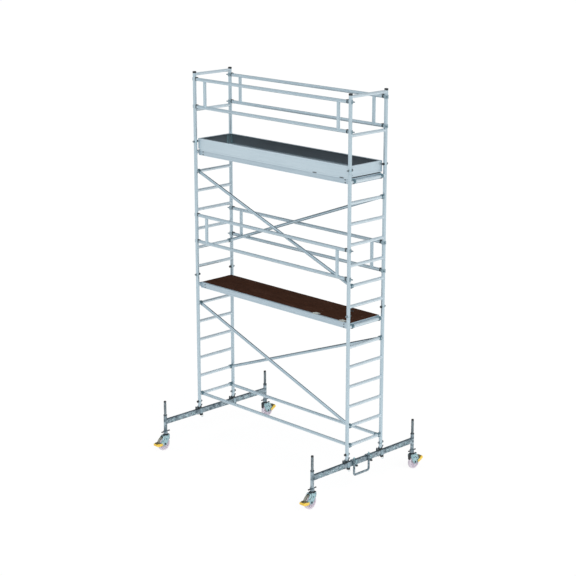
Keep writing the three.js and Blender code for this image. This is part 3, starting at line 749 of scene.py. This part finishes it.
def hinge_leaf(build, x, y0, y1, knuckles, towards):
    """A hinge plate with rivets, and a rolled knuckle for each stretch of the pin."""
    build.box((x - 45, y0, 40.2), (x + 45, y1, 42.4), HINGE, 0.6)
    edge = y1 if towards > 0 else y0
    for a, b in knuckles:
        profile = [(3.6, 0), (4.8, 0.3), (4.8, b - a - 0.3), (3.6, b - a)]
        build.turned((x + a, HINGE_Y, HINGE_ABOVE), X, profile, HINGE, 20)
        root = edge - towards * 2
        outline = [(root, 40.4), (HINGE_Y, 40.9), (HINGE_Y, 43.4), (root, 42.4)]
        build.prism(outline, "X", x + a + 0.2, x + b - 0.2, HINGE, 0.2)
    for a in (-32, 0, 32):
        build.rivet((x + a, (y0 + y1) / 2, 42.4), Z, 4.2, 1.8, SCREW)


def ply_board(build, level, outline, holes=()):
    """Film-faced plywood: two dark skins on a banded core."""
    skin = 0.9
    core = dict(edge=0.3, holes=holes)
    build.prism(outline, "Z", PANEL_BOTTOM, PANEL_BOTTOM + skin, PLY[level], **core)
    build.prism(outline, "Z", PANEL_BOTTOM + skin, PANEL_TOP - skin, EDGE[level], **core)
    build.prism(outline, "Z", PANEL_TOP - skin, PANEL_TOP, PLY[level], **core)


def deck_boards(level, deck):
    """The fixed panel round the hatch, the hatch with its grip and battens, and the hinge pins."""
    (x0, y0), (x1, y1) = HATCH_BOX
    gap, x, y = 3, DECK_X - 29, DECK_Y - 29
    notch = [(x0 - gap, -y), (x0 - gap, y1 + gap), (x1 + gap, y1 + gap), (x1 + gap, -y)]
    outline = [(-x, -y), *notch, (x, -y), (x, y), (-x, y)]
    panel = Build(Matrix.Translation((0, 0, deck)))
    ply_board(panel, level, outline)
    wide, deep = DECK_X - 3, DECK_Y - 3
    cover = [(-wide, -y), *notch, (wide, -y), (wide, deep), (-wide, deep)]
    panel.prism(cover, "Z", PANEL_TOP, PANEL_TOP + COVER, PLY[level], 0.3)
    for i in range(11):
        along = -x + 60 + i * (2 * x - 120) / 10
        for across in (-y + 13, y - 13):
            if across < 0 and x0 - 20 < along < x1 + 20:
                continue
            panel.rivet((along, across, PANEL_TOP + COVER - 0.2), Z, 5.2, 0.8, SCREW)
    panel.make(f"{level}_platform_panel", "tower", [f"{level}_deck_panel"])

    hatch = Build(Matrix.Translation((0, 0, deck)))
    grip = rounded(1050, 1130, y1 - 55, y1 - 25, 14.9, 6)
    ply_board(hatch, level, rounded(x0, x1, y0, y1, 4, 3), [grip])
    ring = rounded(1044, 1136, y1 - 61, y1 - 19, 20.5, 6)
    cup = rounded(1051.5, 1128.5, y1 - 53.5, y1 - 26.5, 13.4, 6)
    hatch.prism(ring, "Z", PANEL_TOP, PANEL_TOP + 1.6, BLACK, 0.4, [cup])
    hatch.prism(grip, "Z", PANEL_BOTTOM, PANEL_TOP, BLACK, 0.2, [cup])
    for x in HINGE_X:
        hinge_leaf(hatch, x, HINGE_Y + 6, HINGE_Y + 50, ((-16, 16),), -1)
    for y in (-100, 80):
        for x in (x0 + 18, x1 - 18):
            hatch.rivet((x, y, PANEL_TOP - 0.2), Z, 5.2, 0.8, SCREW)
    for y in (y0 + 120, y1 - 120):
        batten = (x1 - 30, y + 18, PANEL_BOTTOM)
        hatch.box((x0 + 30, y - 18, PANEL_BOTTOM - 4), batten, DECK_ALU["X"])
    hatch.make(f"{level}_trapdoor", f"{level}_hatch", [f"{level}_hatch"])

    pin = Build()
    for x in HINGE_X:
        centre = Vector((x, HINGE_Y, deck + HINGE_ABOVE))
        pin.rod(centre - X * 50, centre + X * 50, 3, SCREW, 16, 0.6)
        for sign in (-1, 1):
            pin.rivet(centre + X * sign * 45.5, X * sign, 4.6, 3.5, SCREW)
    pin.make(f"{level}_trapdoor_pins", "tower", [f"{level}_hatch_pin"])


for level, deck in DECKS.items():
    deck_frame(level, deck)
    deck_boards(level, deck)

# ------------------------------------------------------------------ toe boards

TOE_Z, TOE_DEEP, TOE_Y, TOE_X = DECKS["upper"] + 52, 25, 311, 1488
TOE_PROFILE = [
    (0.8, 0), (25, 0), (25, 7), (22.8, 7), (22.8, 2.2), (2.4, 2.2), (2.4, 147.8), (22.8, 147.8),
    (22.8, 143), (25, 143), (25, 150), (0.8, 150), (0, 149.2), (0, 122), (1.1, 121), (1.1, 118),
    (0, 117), (0, 77),
    (1.1, 76), (1.1, 74), (0, 73), (0, 33), (1.1, 32), (1.1, 29), (0, 28), (0, 0.8),
]
CAP_PROFILE = rectangle(1.2, 24, 0.4, 149.6)


def toe_board(name, axis, outer, inward, reach):
    """A grooved channel, capped at both ends, that hangs a skirt over the platform's long sides."""
    build = Build(Matrix.Translation((0, 0, TOE_Z)))

    def across(profile):
        return [(outer + inward * depth, z) for depth, z in profile]

    build.prism(across(TOE_PROFILE), axis, 2 - reach, reach - 2, BOARD_ALU[axis], 0.4)
    # A thin darker sheet over the channel's inner face: painted shade.
    inside = rectangle(2.4, 3.2, 2.3, 147.7)
    build.prism(across(inside), axis, 3 - reach, reach - 3, BOARD_SHADE[axis], 0.2)
    for low, high in ((-reach, 3 - reach), (reach - 3, reach)):
        build.prism(across(CAP_PROFILE), axis, low, high, BOARD_ALU["Y"], 0.8)
    if axis == "X":
        skirt = [(0.4, 6), (0.4, -1), (5, -6), (5, -26), (7, -26), (7, -4), (3, 4)]
        build.prism(across(skirt), "X", 30 - reach, reach - 30, BOARD_ALU["X"], 0.2)
    # At each hatch hinge the front skirt carries a black plate: painted shadow of the hinge leaf under the
    # board.
    for x in HINGE_X if name == "toe_board_front" else ():
        face = outer + inward * 5
        build.box((x - 36, face - 1.6, -23.5), (x + 36, face + 0.2, -12.5), BLACK, 0.5)
        for a in (-15, 15):
            build.box((x + a - 3, face - 3, -22), (x + a + 3, face, -11), SCREW)
    for end in (-1, 1):
        for z in (26, 96, 124):
            t = end * (reach - 30)
            build.rivet(lift(axis, outer, z, t), lift(axis, -inward, 0, 0), 4.5, 1.6, SCREW)
        near, far = span(end, reach - 46, reach - 12)
        build.prism(across(rectangle(2.4, 6, 12, 138)), axis, near, far, ZINC, 0.6)
    build.make(f"{name}_channel", "tower", [name])


for face, out in FACES.items():
    toe_board(f"toe_board_{face}", "X", out * TOE_Y, -out, TOE_X)
for side, sign in SIDES.items():
    toe_board(f"toe_board_{side}", "Y", sign * TOE_X, -sign, TOE_Y - TOE_DEEP - 1)

# ------------------------------------------------------------------ rolling beams

BEAM_HALF, BEAM_LOW, BEAM_HIGH, BEAM_WALL, BEND = 20, 392, 468, 3, 6
SLEEVE_R, SLEEVE_BORE, SLEEVE_LOW, SLEEVE_HIGH = 25, 20.4, 292, 534
SLOT_FIRST, SLOT_PITCH, SLOT_HALF, SLOT_R = 475, 130, 32, 16.5


def stadium(y, z, half, r):
    """A slot's outline: a rectangle with half circles for ends."""
    return arc(y + half - r, z, r, -90, 90, 10) + arc(y - half + r, z, r, 90, 270, 10)


def beam_sleeve(build, y):
    """The upright tube at a beam's end, its top collar, and the weld that joins it to the beam."""
    length = SLEEVE_HIGH - SLEEVE_LOW
    rim, mouth = SLEEVE_R - 0.6, SLEEVE_BORE + 0.7
    tube = [
        (rim, 0), (SLEEVE_R, 0.6), (SLEEVE_R, length - 0.6), (rim, length), (mouth, length),
        (SLEEVE_BORE, length - 0.8), (SLEEVE_BORE, 0.8), (mouth, 0),
    ]
    build.turned((0, y, SLEEVE_LOW), Z, tube, GALVANISED, 44, loop=True)
    collar = [(SLEEVE_R, -10), (26.8, -9.2), (27, -6), (27, 1), (26, 3), (21.2, 3), (21.2, 0), (SLEEVE_R, 0)]
    build.turned((0, y, SLEEVE_HIGH), Z, collar, DARK, 44, loop=True)
    out = math.copysign(1, y)
    weld = []
    for z, angles in ((BEAM_HIGH, range(-50, 51, 10)), (BEAM_LOW, range(50, -51, -10))):
        for a in map(math.radians, angles):
            weld.append((25.6 * math.sin(a), y - out * 25.6 * math.cos(a), z))
    build.sweep(weld, bead(2.6, 0.2), GALVANISED, 6, closed=True)
    build.hex_head((0, y + out * 24.5, SLEEVE_LOW + 26), Y * out, 11, 3.5, DARK)


def rolling_beam(side, x):
    """A slotted box section with rounded edges, its top flange darkened as painted shade, and a sleeve at
    each end.
    """
    build = Build(Matrix.Translation((x, 0, 0)))
    reach = CASTOR_Y - 16
    middle = (BEAM_LOW + BEAM_HIGH) / 2
    for flip in (-1, 1):
        shoulder = BEAM_HIGH - BEND if flip > 0 else BEAM_LOW + BEND
        r = BEAM_HALF - BEND
        ends = [(r, shoulder, 0, 90 * flip), (-r, shoulder, 90 * flip, 180 * flip)]
        outer = [p for cx, cz, a, b in ends for p in arc(cx, cz, BEND, a, b, 6)]
        inner = [p for cx, cz, a, b in ends for p in arc(cx, cz, BEND - BEAM_WALL, a, b, 6)]
        # The top flange takes the darker zinc, which is painted shade; the bottom flange takes plain
        # galvanised steel.
        build.prism(outer + inner[::-1], "Y", -reach, reach, TOP_FLANGE_SHADE_ZINC if flip > 0 else GALVANISED, 0)
    flat = rectangle(-reach, reach, BEAM_LOW + BEND, BEAM_HIGH - BEND)
    slots = []
    for end in (-1, 1):
        centres = [end * (SLOT_FIRST + i * SLOT_PITCH) for i in range(4)]
        slots += [stadium(y, middle, SLOT_HALF, SLOT_R) for y in centres]
    for face in (-1, 1):
        build.prism(flat, "X", *span(face, BEAM_HALF - BEAM_WALL, BEAM_HALF), GALVANISED, 0, slots)
    for slot in slots:
        # Pale plates just inside each slot are painted light seen through the slot.
        for back in (-15, 13.4):
            build.prism(slot, "X", back, back + 1.6, SLOT_LIGHT_ZINC, 0)
        for face in (-1, 1):
            lip = [(face * (BEAM_HALF + 0.2), y, z) for y, z in slot[::2]]
            build.sweep(lip, 2.8, ZINC, 6, closed=True)
    for y in (-CASTOR_Y, CASTOR_Y):
        beam_sleeve(build, y)
    build.make(f"outrigger_beam_{side}", "tower", [f"rolling_beam_{side}"])


def beam_clamp(face, side, x, y):
    """A strap round the beam under a post, with its eye bolt, hand knob and pull ring."""
    build = Build(Matrix.Translation((x, y, 0)))
    top = BEAM_HIGH + 0.4
    plate = soften(rectangle(-26, 26, -70, 42), 10)
    build.prism(plate, "Z", top, top + 5.6, DARK, 1)
    cheek = soften([(-4, 386), (42, 386), (32, 470), (-14, 470)], 8)
    for end in (-1, 1):
        build.prism(cheek, "X", *span(end, 20.4, 25.4), CLAMP_ZINC, 1)
    build.prism(soften(rectangle(-25.4, 25.4, -22, 48), 4), "Z", 386, 391.4, DARK, 1)
    build.tube((0, 0, top + 4), (0, 0, 584), 22.3, 2.5, SCREW, 40)
    socket = [(26.2, 0), (30, 1), (30.6, 20), (29, 24), (26.2, 24)]
    build.turned((0, 0, top + 5.6), Z, socket, DARK, 40, loop=True)
    build.turned((0, -58, top + 5.6), Z, [(13, 0), (13, 2), (9, 3), (9, 18)], SCREW, 24)
    build.hex_head((0, -58, top + 23.6), Z, 22, 10, SCREW)
    tab = soften([(-70, 474), (-46, 474), (-46, 500), (-58, 512), (-70, 500)], 5)
    for end in (-1, 1):
        build.prism(tab, "X", *span(end, 14, 19), DARK)
    strap = soften([(-40, 474), (-26, 474), (31, 532), (26, 545), (18, 540)], 4)
    for end in (-1, 1):
        build.prism(strap, "X", *span(end, 26.8, 30), DARK)
    build.rod((-32.5, 20, 532), (32.5, 20, 532), 5, SCREW, 20, 1)
    knob = [(12, 0), (21, 2), (25, 6), (25, 22), (21, 27), (10, 29), (10, 31)]
    build.turned((0, 30, 355), Z, knob, BLACK, 32)
    for a in turns(8):
        lobe = Vector((22 * math.cos(a), 30 + 22 * math.sin(a), 356.5))
        build.rod(lobe, lobe + Z * 18, 4, BLACK, 12, 0.8)
    ring = [(4 * math.sin(a), 48 + 15.5 * math.sin(a), 340 + 15.5 * math.cos(a)) for a in turns(32)]
    build.sweep(ring, 2.5, ZINC, 8, closed=True)
    build.rivet((0, -34, BEAM_LOW), -Z, 10, 16, DARK)
    build.make(f"post_clamp_{face}_{side}", "tower", [f"beam_clamp_{face}_{side}"])


for side, sign in SIDES.items():
    rolling_beam(side, sign * POST_X)
    for face, out in FACES.items():
        beam_clamp(face, side, sign * POST_X, out * POST_Y)

# ------------------------------------------------------------------ foot step

STEP_X, STEP_R, STEP_BEND, LEGS, STEP_LOW, STEP_HIGH = 1553, 15, 30, (-232, 60), 262, 478


def step_bracket(build, leg):
    """The hooked plate that hangs one leg of the step on the beam, with its bolts and knob."""
    outer, inner = POST_X + BEAM_HALF + 0.5, POST_X - BEAM_HALF - 0.5
    face = rectangle(leg - 18, leg + 82, 402, 473.4)
    build.prism(soften(face, 7), "X", outer, outer + 5, CLAW_ZINC)
    build.box((inner - 5, leg - 18, 468.4), (outer + 5, leg + 82, 473.4), GALVANISED, 1)
    build.box((inner - 5, leg - 18, 428), (inner, leg + 82, 470), GALVANISED, 1)
    for z in (408, 468):
        ring = [(STEP_X + 15.8 * math.cos(a), leg + 15.8 * math.sin(a), z) for a in turns(28)]
        build.sweep(ring, bead(2.2, 0.2), GALVANISED, 6, closed=True)
    # A lighter zinc plate in the middle of the bracket's face: painted highlight.
    painted_highlight = soften(rectangle(leg + 22, leg + 66, 416, 458), 8)
    build.prism(painted_highlight, "X", outer + 5, outer + 6.8, ZINC, 0.6)
    build.hex_head((outer + 6.6, leg + 44, 437), X, 17, 7, SCREW)
    dome = [(12, 0), (12, 4), (10.5, 14), (9.5, 24), (6, 31), (1, 33)]
    build.turned((POST_X + 4, leg + 34, 473.2), Z, dome, ZINC, 28)
    build.box((outer - 24, leg + 50, 386), (outer + 6, leg + 82, 391.5), GALVANISED, 1)
    build.box((outer, leg + 50, 387), (outer + 6, leg + 82, 410), GALVANISED, 1)
    screw = (outer + 3, leg + 69, 364)
    build.rod(screw, (screw[0], screw[1], 389), 5.5, SCREW, 20, 1)
    knob = [(10, 0), (18.5, 2), (20, 5), (20, 13), (16, 18), (6, 20)]
    build.turned((screw[0] - 4, screw[1], 366.5), Z, knob, BLACK, 24)


def foot_step():
    """A bent bar with a ribbed tread, hung on the beam by two brackets."""
    build = Build()
    left, right = LEGS
    path = [(left, STEP_HIGH), (left, 420), (left, 360)]
    path += arc(left + STEP_BEND, STEP_LOW + STEP_BEND, STEP_BEND, 180, 270, 10)
    path += arc(right - STEP_BEND, STEP_LOW + STEP_BEND, STEP_BEND, 270, 360, 10)
    path += [(right, 360), (right, 420), (right, STEP_HIGH)]
    build.sweep([(STEP_X, y, z) for y, z in path], STEP_R, GALVANISED, 32)
    grip_low, grip_high = left + STEP_BEND + 12, right - STEP_BEND - 12
    for i in range(13):
        y = grip_low + (grip_high - grip_low) * i / 12
        bottom, top = (STEP_X - 9, y - 3.5, STEP_LOW + 12.5), (STEP_X + 9, y + 3.5, STEP_LOW + 16.2)
        build.box(bottom, top, GALVANISED)
    for leg in LEGS:
        step_bracket(build, leg)
    build.make("access_step", "tower", ["foot_step"])


foot_step()

# ------------------------------------------------------------------ castors
# Drawn with the wheel trailing towards +Y from the spindle's axis, then set at each corner.

TRAIL, WHEEL_R = 40, 100
PIVOT = (0, 102, 108)
THREAD_PITCH, THREAD_CREST, THREAD_ROOT = 8, 19.5, 17.2
PEDAL_UP, PEDAL_DOWN = 24, 2


def thread_radius(turn):
    """A trapezoidal thread's radius at a share of its pitch."""
    turn %= 1.0
    flank = min(max((abs(turn - 0.5) - 0.12) / 0.2, 0), 1)
    return THREAD_CREST + (THREAD_ROOT - THREAD_CREST) * flank


def threaded_spindle():
    """A threaded bar that fades to its core at both ends, its cap, and the flange on the fork."""
    build = Build()
    low, high, steps, sides = 240, 733, 380, 20
    rings = []
    for k in range(steps + 1):
        z = low + (high - low) * k / steps
        fade = min(1, k / 6, (steps - k) / 6)
        ring = []
        for a in turns(sides):
            r = thread_radius(z / THREAD_PITCH - a / (2 * math.pi))
            r = THREAD_ROOT + (r - THREAD_ROOT) * fade
            ring.append((r * math.cos(a), r * math.sin(a), z))
        rings.append(ring)
    build.loft(rings, SCREW)
    cap = [(17.2, 0), (18.8, 1.2), (18.8, 14), (16.5, 17.8), (8, 19.5), (1, 19.5)]
    build.turned((0, 0, high - 4.5), Z, cap, BLACK, 32)
    flange = [(36, 0), (41.5, 1), (42, 3.5), (40.5, 7.5), (30, 8), (24, 12), (19.5, 16)]
    build.turned((0, 0, 226), Z, flange, DARK, 48)
    pin = [(10, 0), (13, 1.5), (13, 6), (8, 6.5), (8, 23.5)]
    build.turned((0, 0, 203), Z, pin, SCREW, 24)
    return build


def handled_nut():
    """The ring nut under the sleeve, and the bar that turns it."""
    build = Build()
    hexagon, bore = circle(32.5, 6), circle(20.6, 32)
    build.prism(soften(hexagon, 6), "Z", 247, 281, GALVANISED, 1.6, [bore])
    collar = [(20.6, 0), (33, 0.4), (33.8, 4), (32.5, 8.8), (20.6, 10.2)]
    build.turned((0, 0, 281), Z, collar, GALVANISED, 40, loop=True)
    for end in (-1, 1):
        bar = [(8.5, 0), (8.5, 44), (10, 45.5), (10, 50.5), (8, 53), (1, 53.6)]
        build.turned((0, end * 21.5, 279), Y * end, bar, BLACK, 24)
        ferrule = [(12.5, 0), (12.5, 6), (9.8, 9)]
        build.turned((0, end * 26.5, 279), Y * end, ferrule, GALVANISED, 24)
    return build


def fork_cheek(build, side):
    """One cheek of the fork with its rolled rim, a black plate painted as the dark shade of a slot, rivets
    and the two pivots.
    """
    outline = soften([
        (-42, 225), (58, 225), (80, 194), (116, 128), (118, 104), (108, 94), (60, 84), (40, 76), (24, 80),
        (-12, 128), (-42, 190),
    ], 9)
    build.prism(outline, "X", *span(side, 30, 34), ZINC, 1.6)
    skin = side * 33.8
    rim = [(skin, y, z) for y, z in inset(outline, 4)]
    build.sweep(rim, 2.1, ZINC, 6, closed=True)
    # The black slot-shaped plate below is painted shade where a slot's opening looks dark.
    top, bottom = Vector((40, 184)), Vector((74, 150))
    along = (bottom - top).normalized() * 6
    across = Vector((-along.y, along.x)) * 0.75
    mark = [top + across, top - along, top - across, bottom - across, bottom + along, bottom + across]
    build.prism(soften(mark, 3), "X", *span(side, 33.5, 34.7), BLACK, 0.4)
    for y, z, r in ((46, 210, 7.5), (-26, 208, 6), (10, 172, 8.5), (92, 158, 6)):
        build.rivet((skin, y, z), X * side, r, 3.6, DARK)
    pivot = Vector(PIVOT)
    build.rod(pivot + X * side * 33, pivot + X * side * 46.6, 6, SCREW, 20, 1)
    boss = [(18.5, 0), (18.5, 1.2), (16.5, 2.2), (10, 2.2)]
    build.turned((side * 34, TRAIL, WHEEL_R), X * side, boss, ZINC, 32)


def castor_fork():
    """The crown with its ball race, two cheeks, the wheel guard and the parts of the brake on it."""
    build = Build()
    crown = soften(rectangle(-34, 34, -42, 58), 12)
    build.prism(crown, "Z", 216.5, 224.5, ZINC, 1.4)
    build.prism(soften(rectangle(-29, 29, -37, 52), 8), "Z", 224.3, 226.2, BLACK, 0.6)
    race = [(33, 0), (36.5, 2), (37.5, 8.5), (35.5, 10.5), (30, 10.8)]
    build.turned((0, 0, 206.2), Z, race, ZINC, 48)
    lip = [(38.5, 0), (40.2, 0.6), (40.2, 2), (38.5, 2.4), (34, 2.4), (34, 0)]
    build.turned((0, 0, 223.8), Z, lip, DARK, 48, loop=True)
    for side in (-1, 1):
        fork_cheek(build, side)
    strap = hook(TRAIL, WHEEL_R, 107, 111, 6, 76, 24)
    build.prism(strap, "X", -24, 24, STRAP, 0.8)
    # The olive strips along the strap's edges and the olive rod below are painted shade.
    edge_strip = hook(TRAIL, WHEEL_R, 110.8, 112.8, 10, 72, 24)
    for side in (-1, 1):
        build.prism(edge_strip, "X", *span(side, 17, 23.5), OLIVE_SHADE, 0.5)
    build.box((-24, 48, 201.5), (24, 68, 219), ZINC, 2)
    build.rod((-24, 72, 203), (24, 72, 203), 4.8, OLIVE_SHADE, 16, 1)
    build.box((-12, 56, 217.8), (12, 92, 222.2), DARK, 1)
    knob = [(6, 0), (11, 1), (12.5, 3), (12.5, 7), (10, 10), (4, 11.5)]
    build.turned((0, 81, 216), Z, knob, BLACK, 28)
    build.box((-10, -56, 218), (10, -38, 222.5), DARK, 1)
    stop = soften(rectangle(-19, 19, 150, 230), 6)
    build.prism(stop, "Y", -60, -50, BLACK, 1.4)
    return build


def brake_pedal():
    """The pedal about its pivot: a yellow tread on two arms, with the linkage inside them; the olive parts
    are painted shade.
    """
    build = Build()
    arm = soften([(-18, -16), (8, -26), (78, -22), (95, -14), (95, 10), (90, 15), (40, 16), (-12, 13)], 6)
    link = soften([(-14, -12), (6, -16), (58, -14), (66, -4), (58, 8), (-10, 9)], 5)
    boss = [(13.5, 0), (13.5, 1.2), (11.5, 2.2), (7.5, 2.2)]
    hole = circle(6.9, 20)
    for side in (-1, 1):
        build.prism(arm, "X", *span(side, 39.5, 43.5), YELLOW, 1.2, [hole])
        build.turned((side * 43.2, 0, 0), X * side, boss, YELLOW, 28)
        # The olive link plates inside the arms are painted shade.
        build.prism(link, "X", *span(side, 34.5, 39.2), OLIVE_SHADE, 1)
    tread = soften([(-42.5, 50), (42.5, 50), (43.5, 94.5), (-43.5, 94.5)], 6)
    build.prism(tread, "Z", 11.5, 16, YELLOW, 1.2)
    lip = soften(rectangle(-42.5, 42.5, -14, 14.5), 5)
    build.prism(lip, "Y", 90.5, 95, YELLOW, 1.2)
    for i in range(5):
        y = 57.5 + i * 7.8
        build.box((-36, y - 1.4, 15.8), (36, y + 1.4, 17.6), YELLOW, 0.6)
    for x in (-28, -14, 0, 14, 28):
        build.box((x - 1.6, 94.8, -10), (x + 1.6, 96.5, 10), YELLOW, 0.6)
    # The olive block under the tread and the olive release plate are painted shade of the yellow coat.
    build.box((-24, 52, -6), (24, 89, 11.2), OLIVE_SHADE, 2)
    release = [(20, 17), (38, 22), (62, 21), (84, 17.5), (88, 21), (84, 27), (60, 31), (34, 31), (18, 25)]
    build.prism(soften(release, 3), "X", -30, 30, OLIVE_SHADE, 1.5)
    for x in (-26, 26):
        build.rod((x - 6, 26, 24), (x + 6, 26, 24), 6.5, DARK, 18, 1)
    build.rod((-38.5, 66, -9), (38.5, 66, -9), 4.2, SCREW, 16, 1)
    return build


def castor_wheel():
    """A crowned tread on a thin ribbed web, with a hub and its two caps."""
    build = Build()
    half = [
        (100, 15.5), (98.4, 19.6), (95, 21.6), (80, 22), (77, 20.5), (75, 12), (72, 10), (28, 10), (26, 12),
        (24.6, 26), (23, 27), (12, 27), (10.8, 25), (10.8, 0),
    ]
    crown = [(100, -15.5), (100, -8), (100, 8)]
    near = half[:-1]
    loop = crown + near + [(r, -h) for r, h in near[:0:-1]]
    build.turned((0, 0, 0), X, loop, NYLON, 72, loop=True)
    for i, a in enumerate(turns(10)):
        radial, across = Y * math.cos(a) + Z * math.sin(a), Z * math.cos(a) - Y * math.sin(a)
        for side in (-1, 1):
            foot, top, wide, narrow = side * 9.8, side * 18.5, 3.4, 2
            rings = []
            for r in (23.5, 76.5):
                mid = radial * r
                half_ring = [X * foot + across * wide, X * top + across * narrow]
                ring = [mid + p for p in (*half_ring, X * top - across * narrow, X * foot - across * wide)]
                rings.append(ring if side > 0 else ring[::-1])
            build.loft(rings, NYLON)
    for side in (-1, 1):
        cap = [(21.5, 0), (21.5, 1), (19.5, 2.2), (10.5, 2.2), (9.5, 0)]
        build.turned((side * 26.2, 0, 0), X * side, cap, ZINC, 36, loop=True)
    return build


def wheel_axle():
    """The bolt through the hub, with a washer and a head or nut at each cheek."""
    build = Build()
    build.rod((-37, 0, 0), (37, 0, 0), 8, SCREW, 24)
    for side in (-1, 1):
        washer = [(15.5, 0), (16, 0.6), (16, 1.8), (15.2, 2.2)]
        build.turned((side * 34.8, 0, 0), X * side, washer, DARK, 28)
        build.hex_head((side * 36.8, 0, 0), X * side, 24, 7.2, DARK)
    return build


WHEEL_SEAT = Matrix.Translation((0, TRAIL, WHEEL_R))
CASTOR_PIECES = (
    ("threaded_spindle", threaded_spindle(), "spindle", "spindle", Matrix.Identity(4), "screw_steel"),
    ("handled_nut", handled_nut(), "nut", "spindle_nut", Matrix.Identity(4), "galvanised_steel"),
    ("castor_yoke", castor_fork(), "castor", "castor_fork", Matrix.Identity(4), "zinc_steel"),
    ("axle_bolt", wheel_axle(), "castor", "wheel_axle", WHEEL_SEAT, "screw_steel"),
    ("nylon_wheel", castor_wheel(), "wheel", "wheel", WHEEL_SEAT, "white_polyamide"),
    ("foot_brake", brake_pedal(), "pedal", "brake_pedal", None, "yellow_plastic"),
)
for piece, build, body, node, seat, slot_name in CASTOR_PIECES:
    shared = None
    for corner, (sx, sy) in CORNERS.items():
        turn = 0 if sy > 0 else math.pi
        place = Matrix.Translation((sx * POST_X, sy * CASTOR_Y, 0)) @ Matrix.Rotation(turn, 4, "Z")
        if seat is None:
            tilt = Matrix.Rotation(math.radians(PEDAL_UP if sy > 0 else PEDAL_DOWN), 4, "X")
            place = place @ Matrix.Translation(PIVOT) @ tilt
        else:
            place = place @ seat
        name, rides, stands_for = f"{piece}_{corner}", f"{body}_{corner}", [f"{node}_{corner}"]
        if shared is None:
            shared = build.make(name, rides, stands_for, slot_name, place).data
        else:
            show(shared, name, rides, stands_for, slot_name, place)

# ------------------------------------------------------------------ floor, light, camera
# In metres: nothing here is part of the object.


FLOOR_SIZE = 400
DARK_ARCH = (0.914, 0.247, -0.322)
LENS, SENSOR = 98.14, 36
CAMERA_PLACE, CAMERA_TURN = (15.233, -14.856, 8.399), (74.66, 0, 45.67)


def stage_floor():
    mesh = bpy.data.meshes.new("studio_floor")
    corners = rectangle(-FLOOR_SIZE, FLOOR_SIZE, -FLOOR_SIZE, FLOOR_SIZE)
    mesh.from_pydata([(x, y, 0) for x, y in corners], [], [(0, 1, 2, 3)])
    pale = Shader("floor_white", "floor", roughness=0.9)
    values = {
        "Base Color": (0.10, 0.10, 0.10, 1), "Emission Color": (*WHITE, 1), "Emission Strength": 0.92,
        "Specular IOR Level": 0.0,
    }
    for socket, value in values.items():
        pale.inputs[socket].default_value = value
    mesh.materials.append(pale.material)
    floor = bpy.data.objects.new("studio_floor", mesh)
    floor.location.z = -0.0005
    bpy.context.scene.collection.objects.link(floor)


def stage_sun(name, towards, strength, angle, colour):
    data = bpy.data.lights.new(name, "SUN")
    data.energy, data.angle, data.color = strength, math.radians(angle), colour
    lamp = bpy.data.objects.new(name, data)
    lamp.rotation_euler = Vector(towards).to_track_quat("-Z", "Y").to_euler()
    bpy.context.scene.collection.objects.link(lamp)


def stage_sky():
    """A pale sky, darker at the horizon, on the left and along one arch overhead."""
    world = bpy.data.worlds.new("studio")
    bpy.context.scene.world = world
    world.use_nodes = True
    sky = Graph(world.node_tree, "Generated")
    split = sky.node("SeparateXYZ", Vector=sky.where).outputs
    horizon, haze = (0.0, 0.10, 0.13, 0.15), (0.22, 0.24, 0.28, 0.31)
    colour = sky.ramp(split["Z"], [horizon, haze, (0.6, 0.85, 0.88, 0.91), (1.0, *WHITE)])
    arch = sky.node("VectorMath")
    arch.operation = "DOT_PRODUCT"
    sky.feed(arch.inputs[0], sky.where)
    arch.inputs[1].default_value = DARK_ARCH
    from_arch = sky.math("ABSOLUTE", arch.outputs["Value"])
    for where, darkest, start, end in ((from_arch, 0.05, 0.12, 0.30), (split["X"], 0.42, -0.75, -0.15)):
        shade = sky.spread(where, darkest, 1.0, start, end)
        colour = sky.blend(1.0, colour, shade, "MULTIPLY")
    background = sky.nodes["Background"].inputs
    sky.feed(background["Color"], colour)
    background["Strength"].default_value = 1.0


stage_floor()
stage_sky()
stage_sun("key", (-0.75, 0.20, -0.63), 1.6, 60, (1.0, 0.99, 0.97))
stage_sun("fill", (0.40, 0.85, -0.35), 0.85, 110, (0.95, 0.97, 1.0))

camera_data = bpy.data.cameras.new("view")
camera_data.lens, camera_data.sensor_width = LENS, SENSOR
camera_data.clip_end = 1000
camera = bpy.data.objects.new("view", camera_data)
camera.location = CAMERA_PLACE
camera.rotation_euler = [math.radians(a) for a in CAMERA_TURN]
bpy.context.scene.collection.objects.link(camera)
bpy.context.scene.camera = camera
bpy.context.scene.view_settings.view_transform = "Standard"
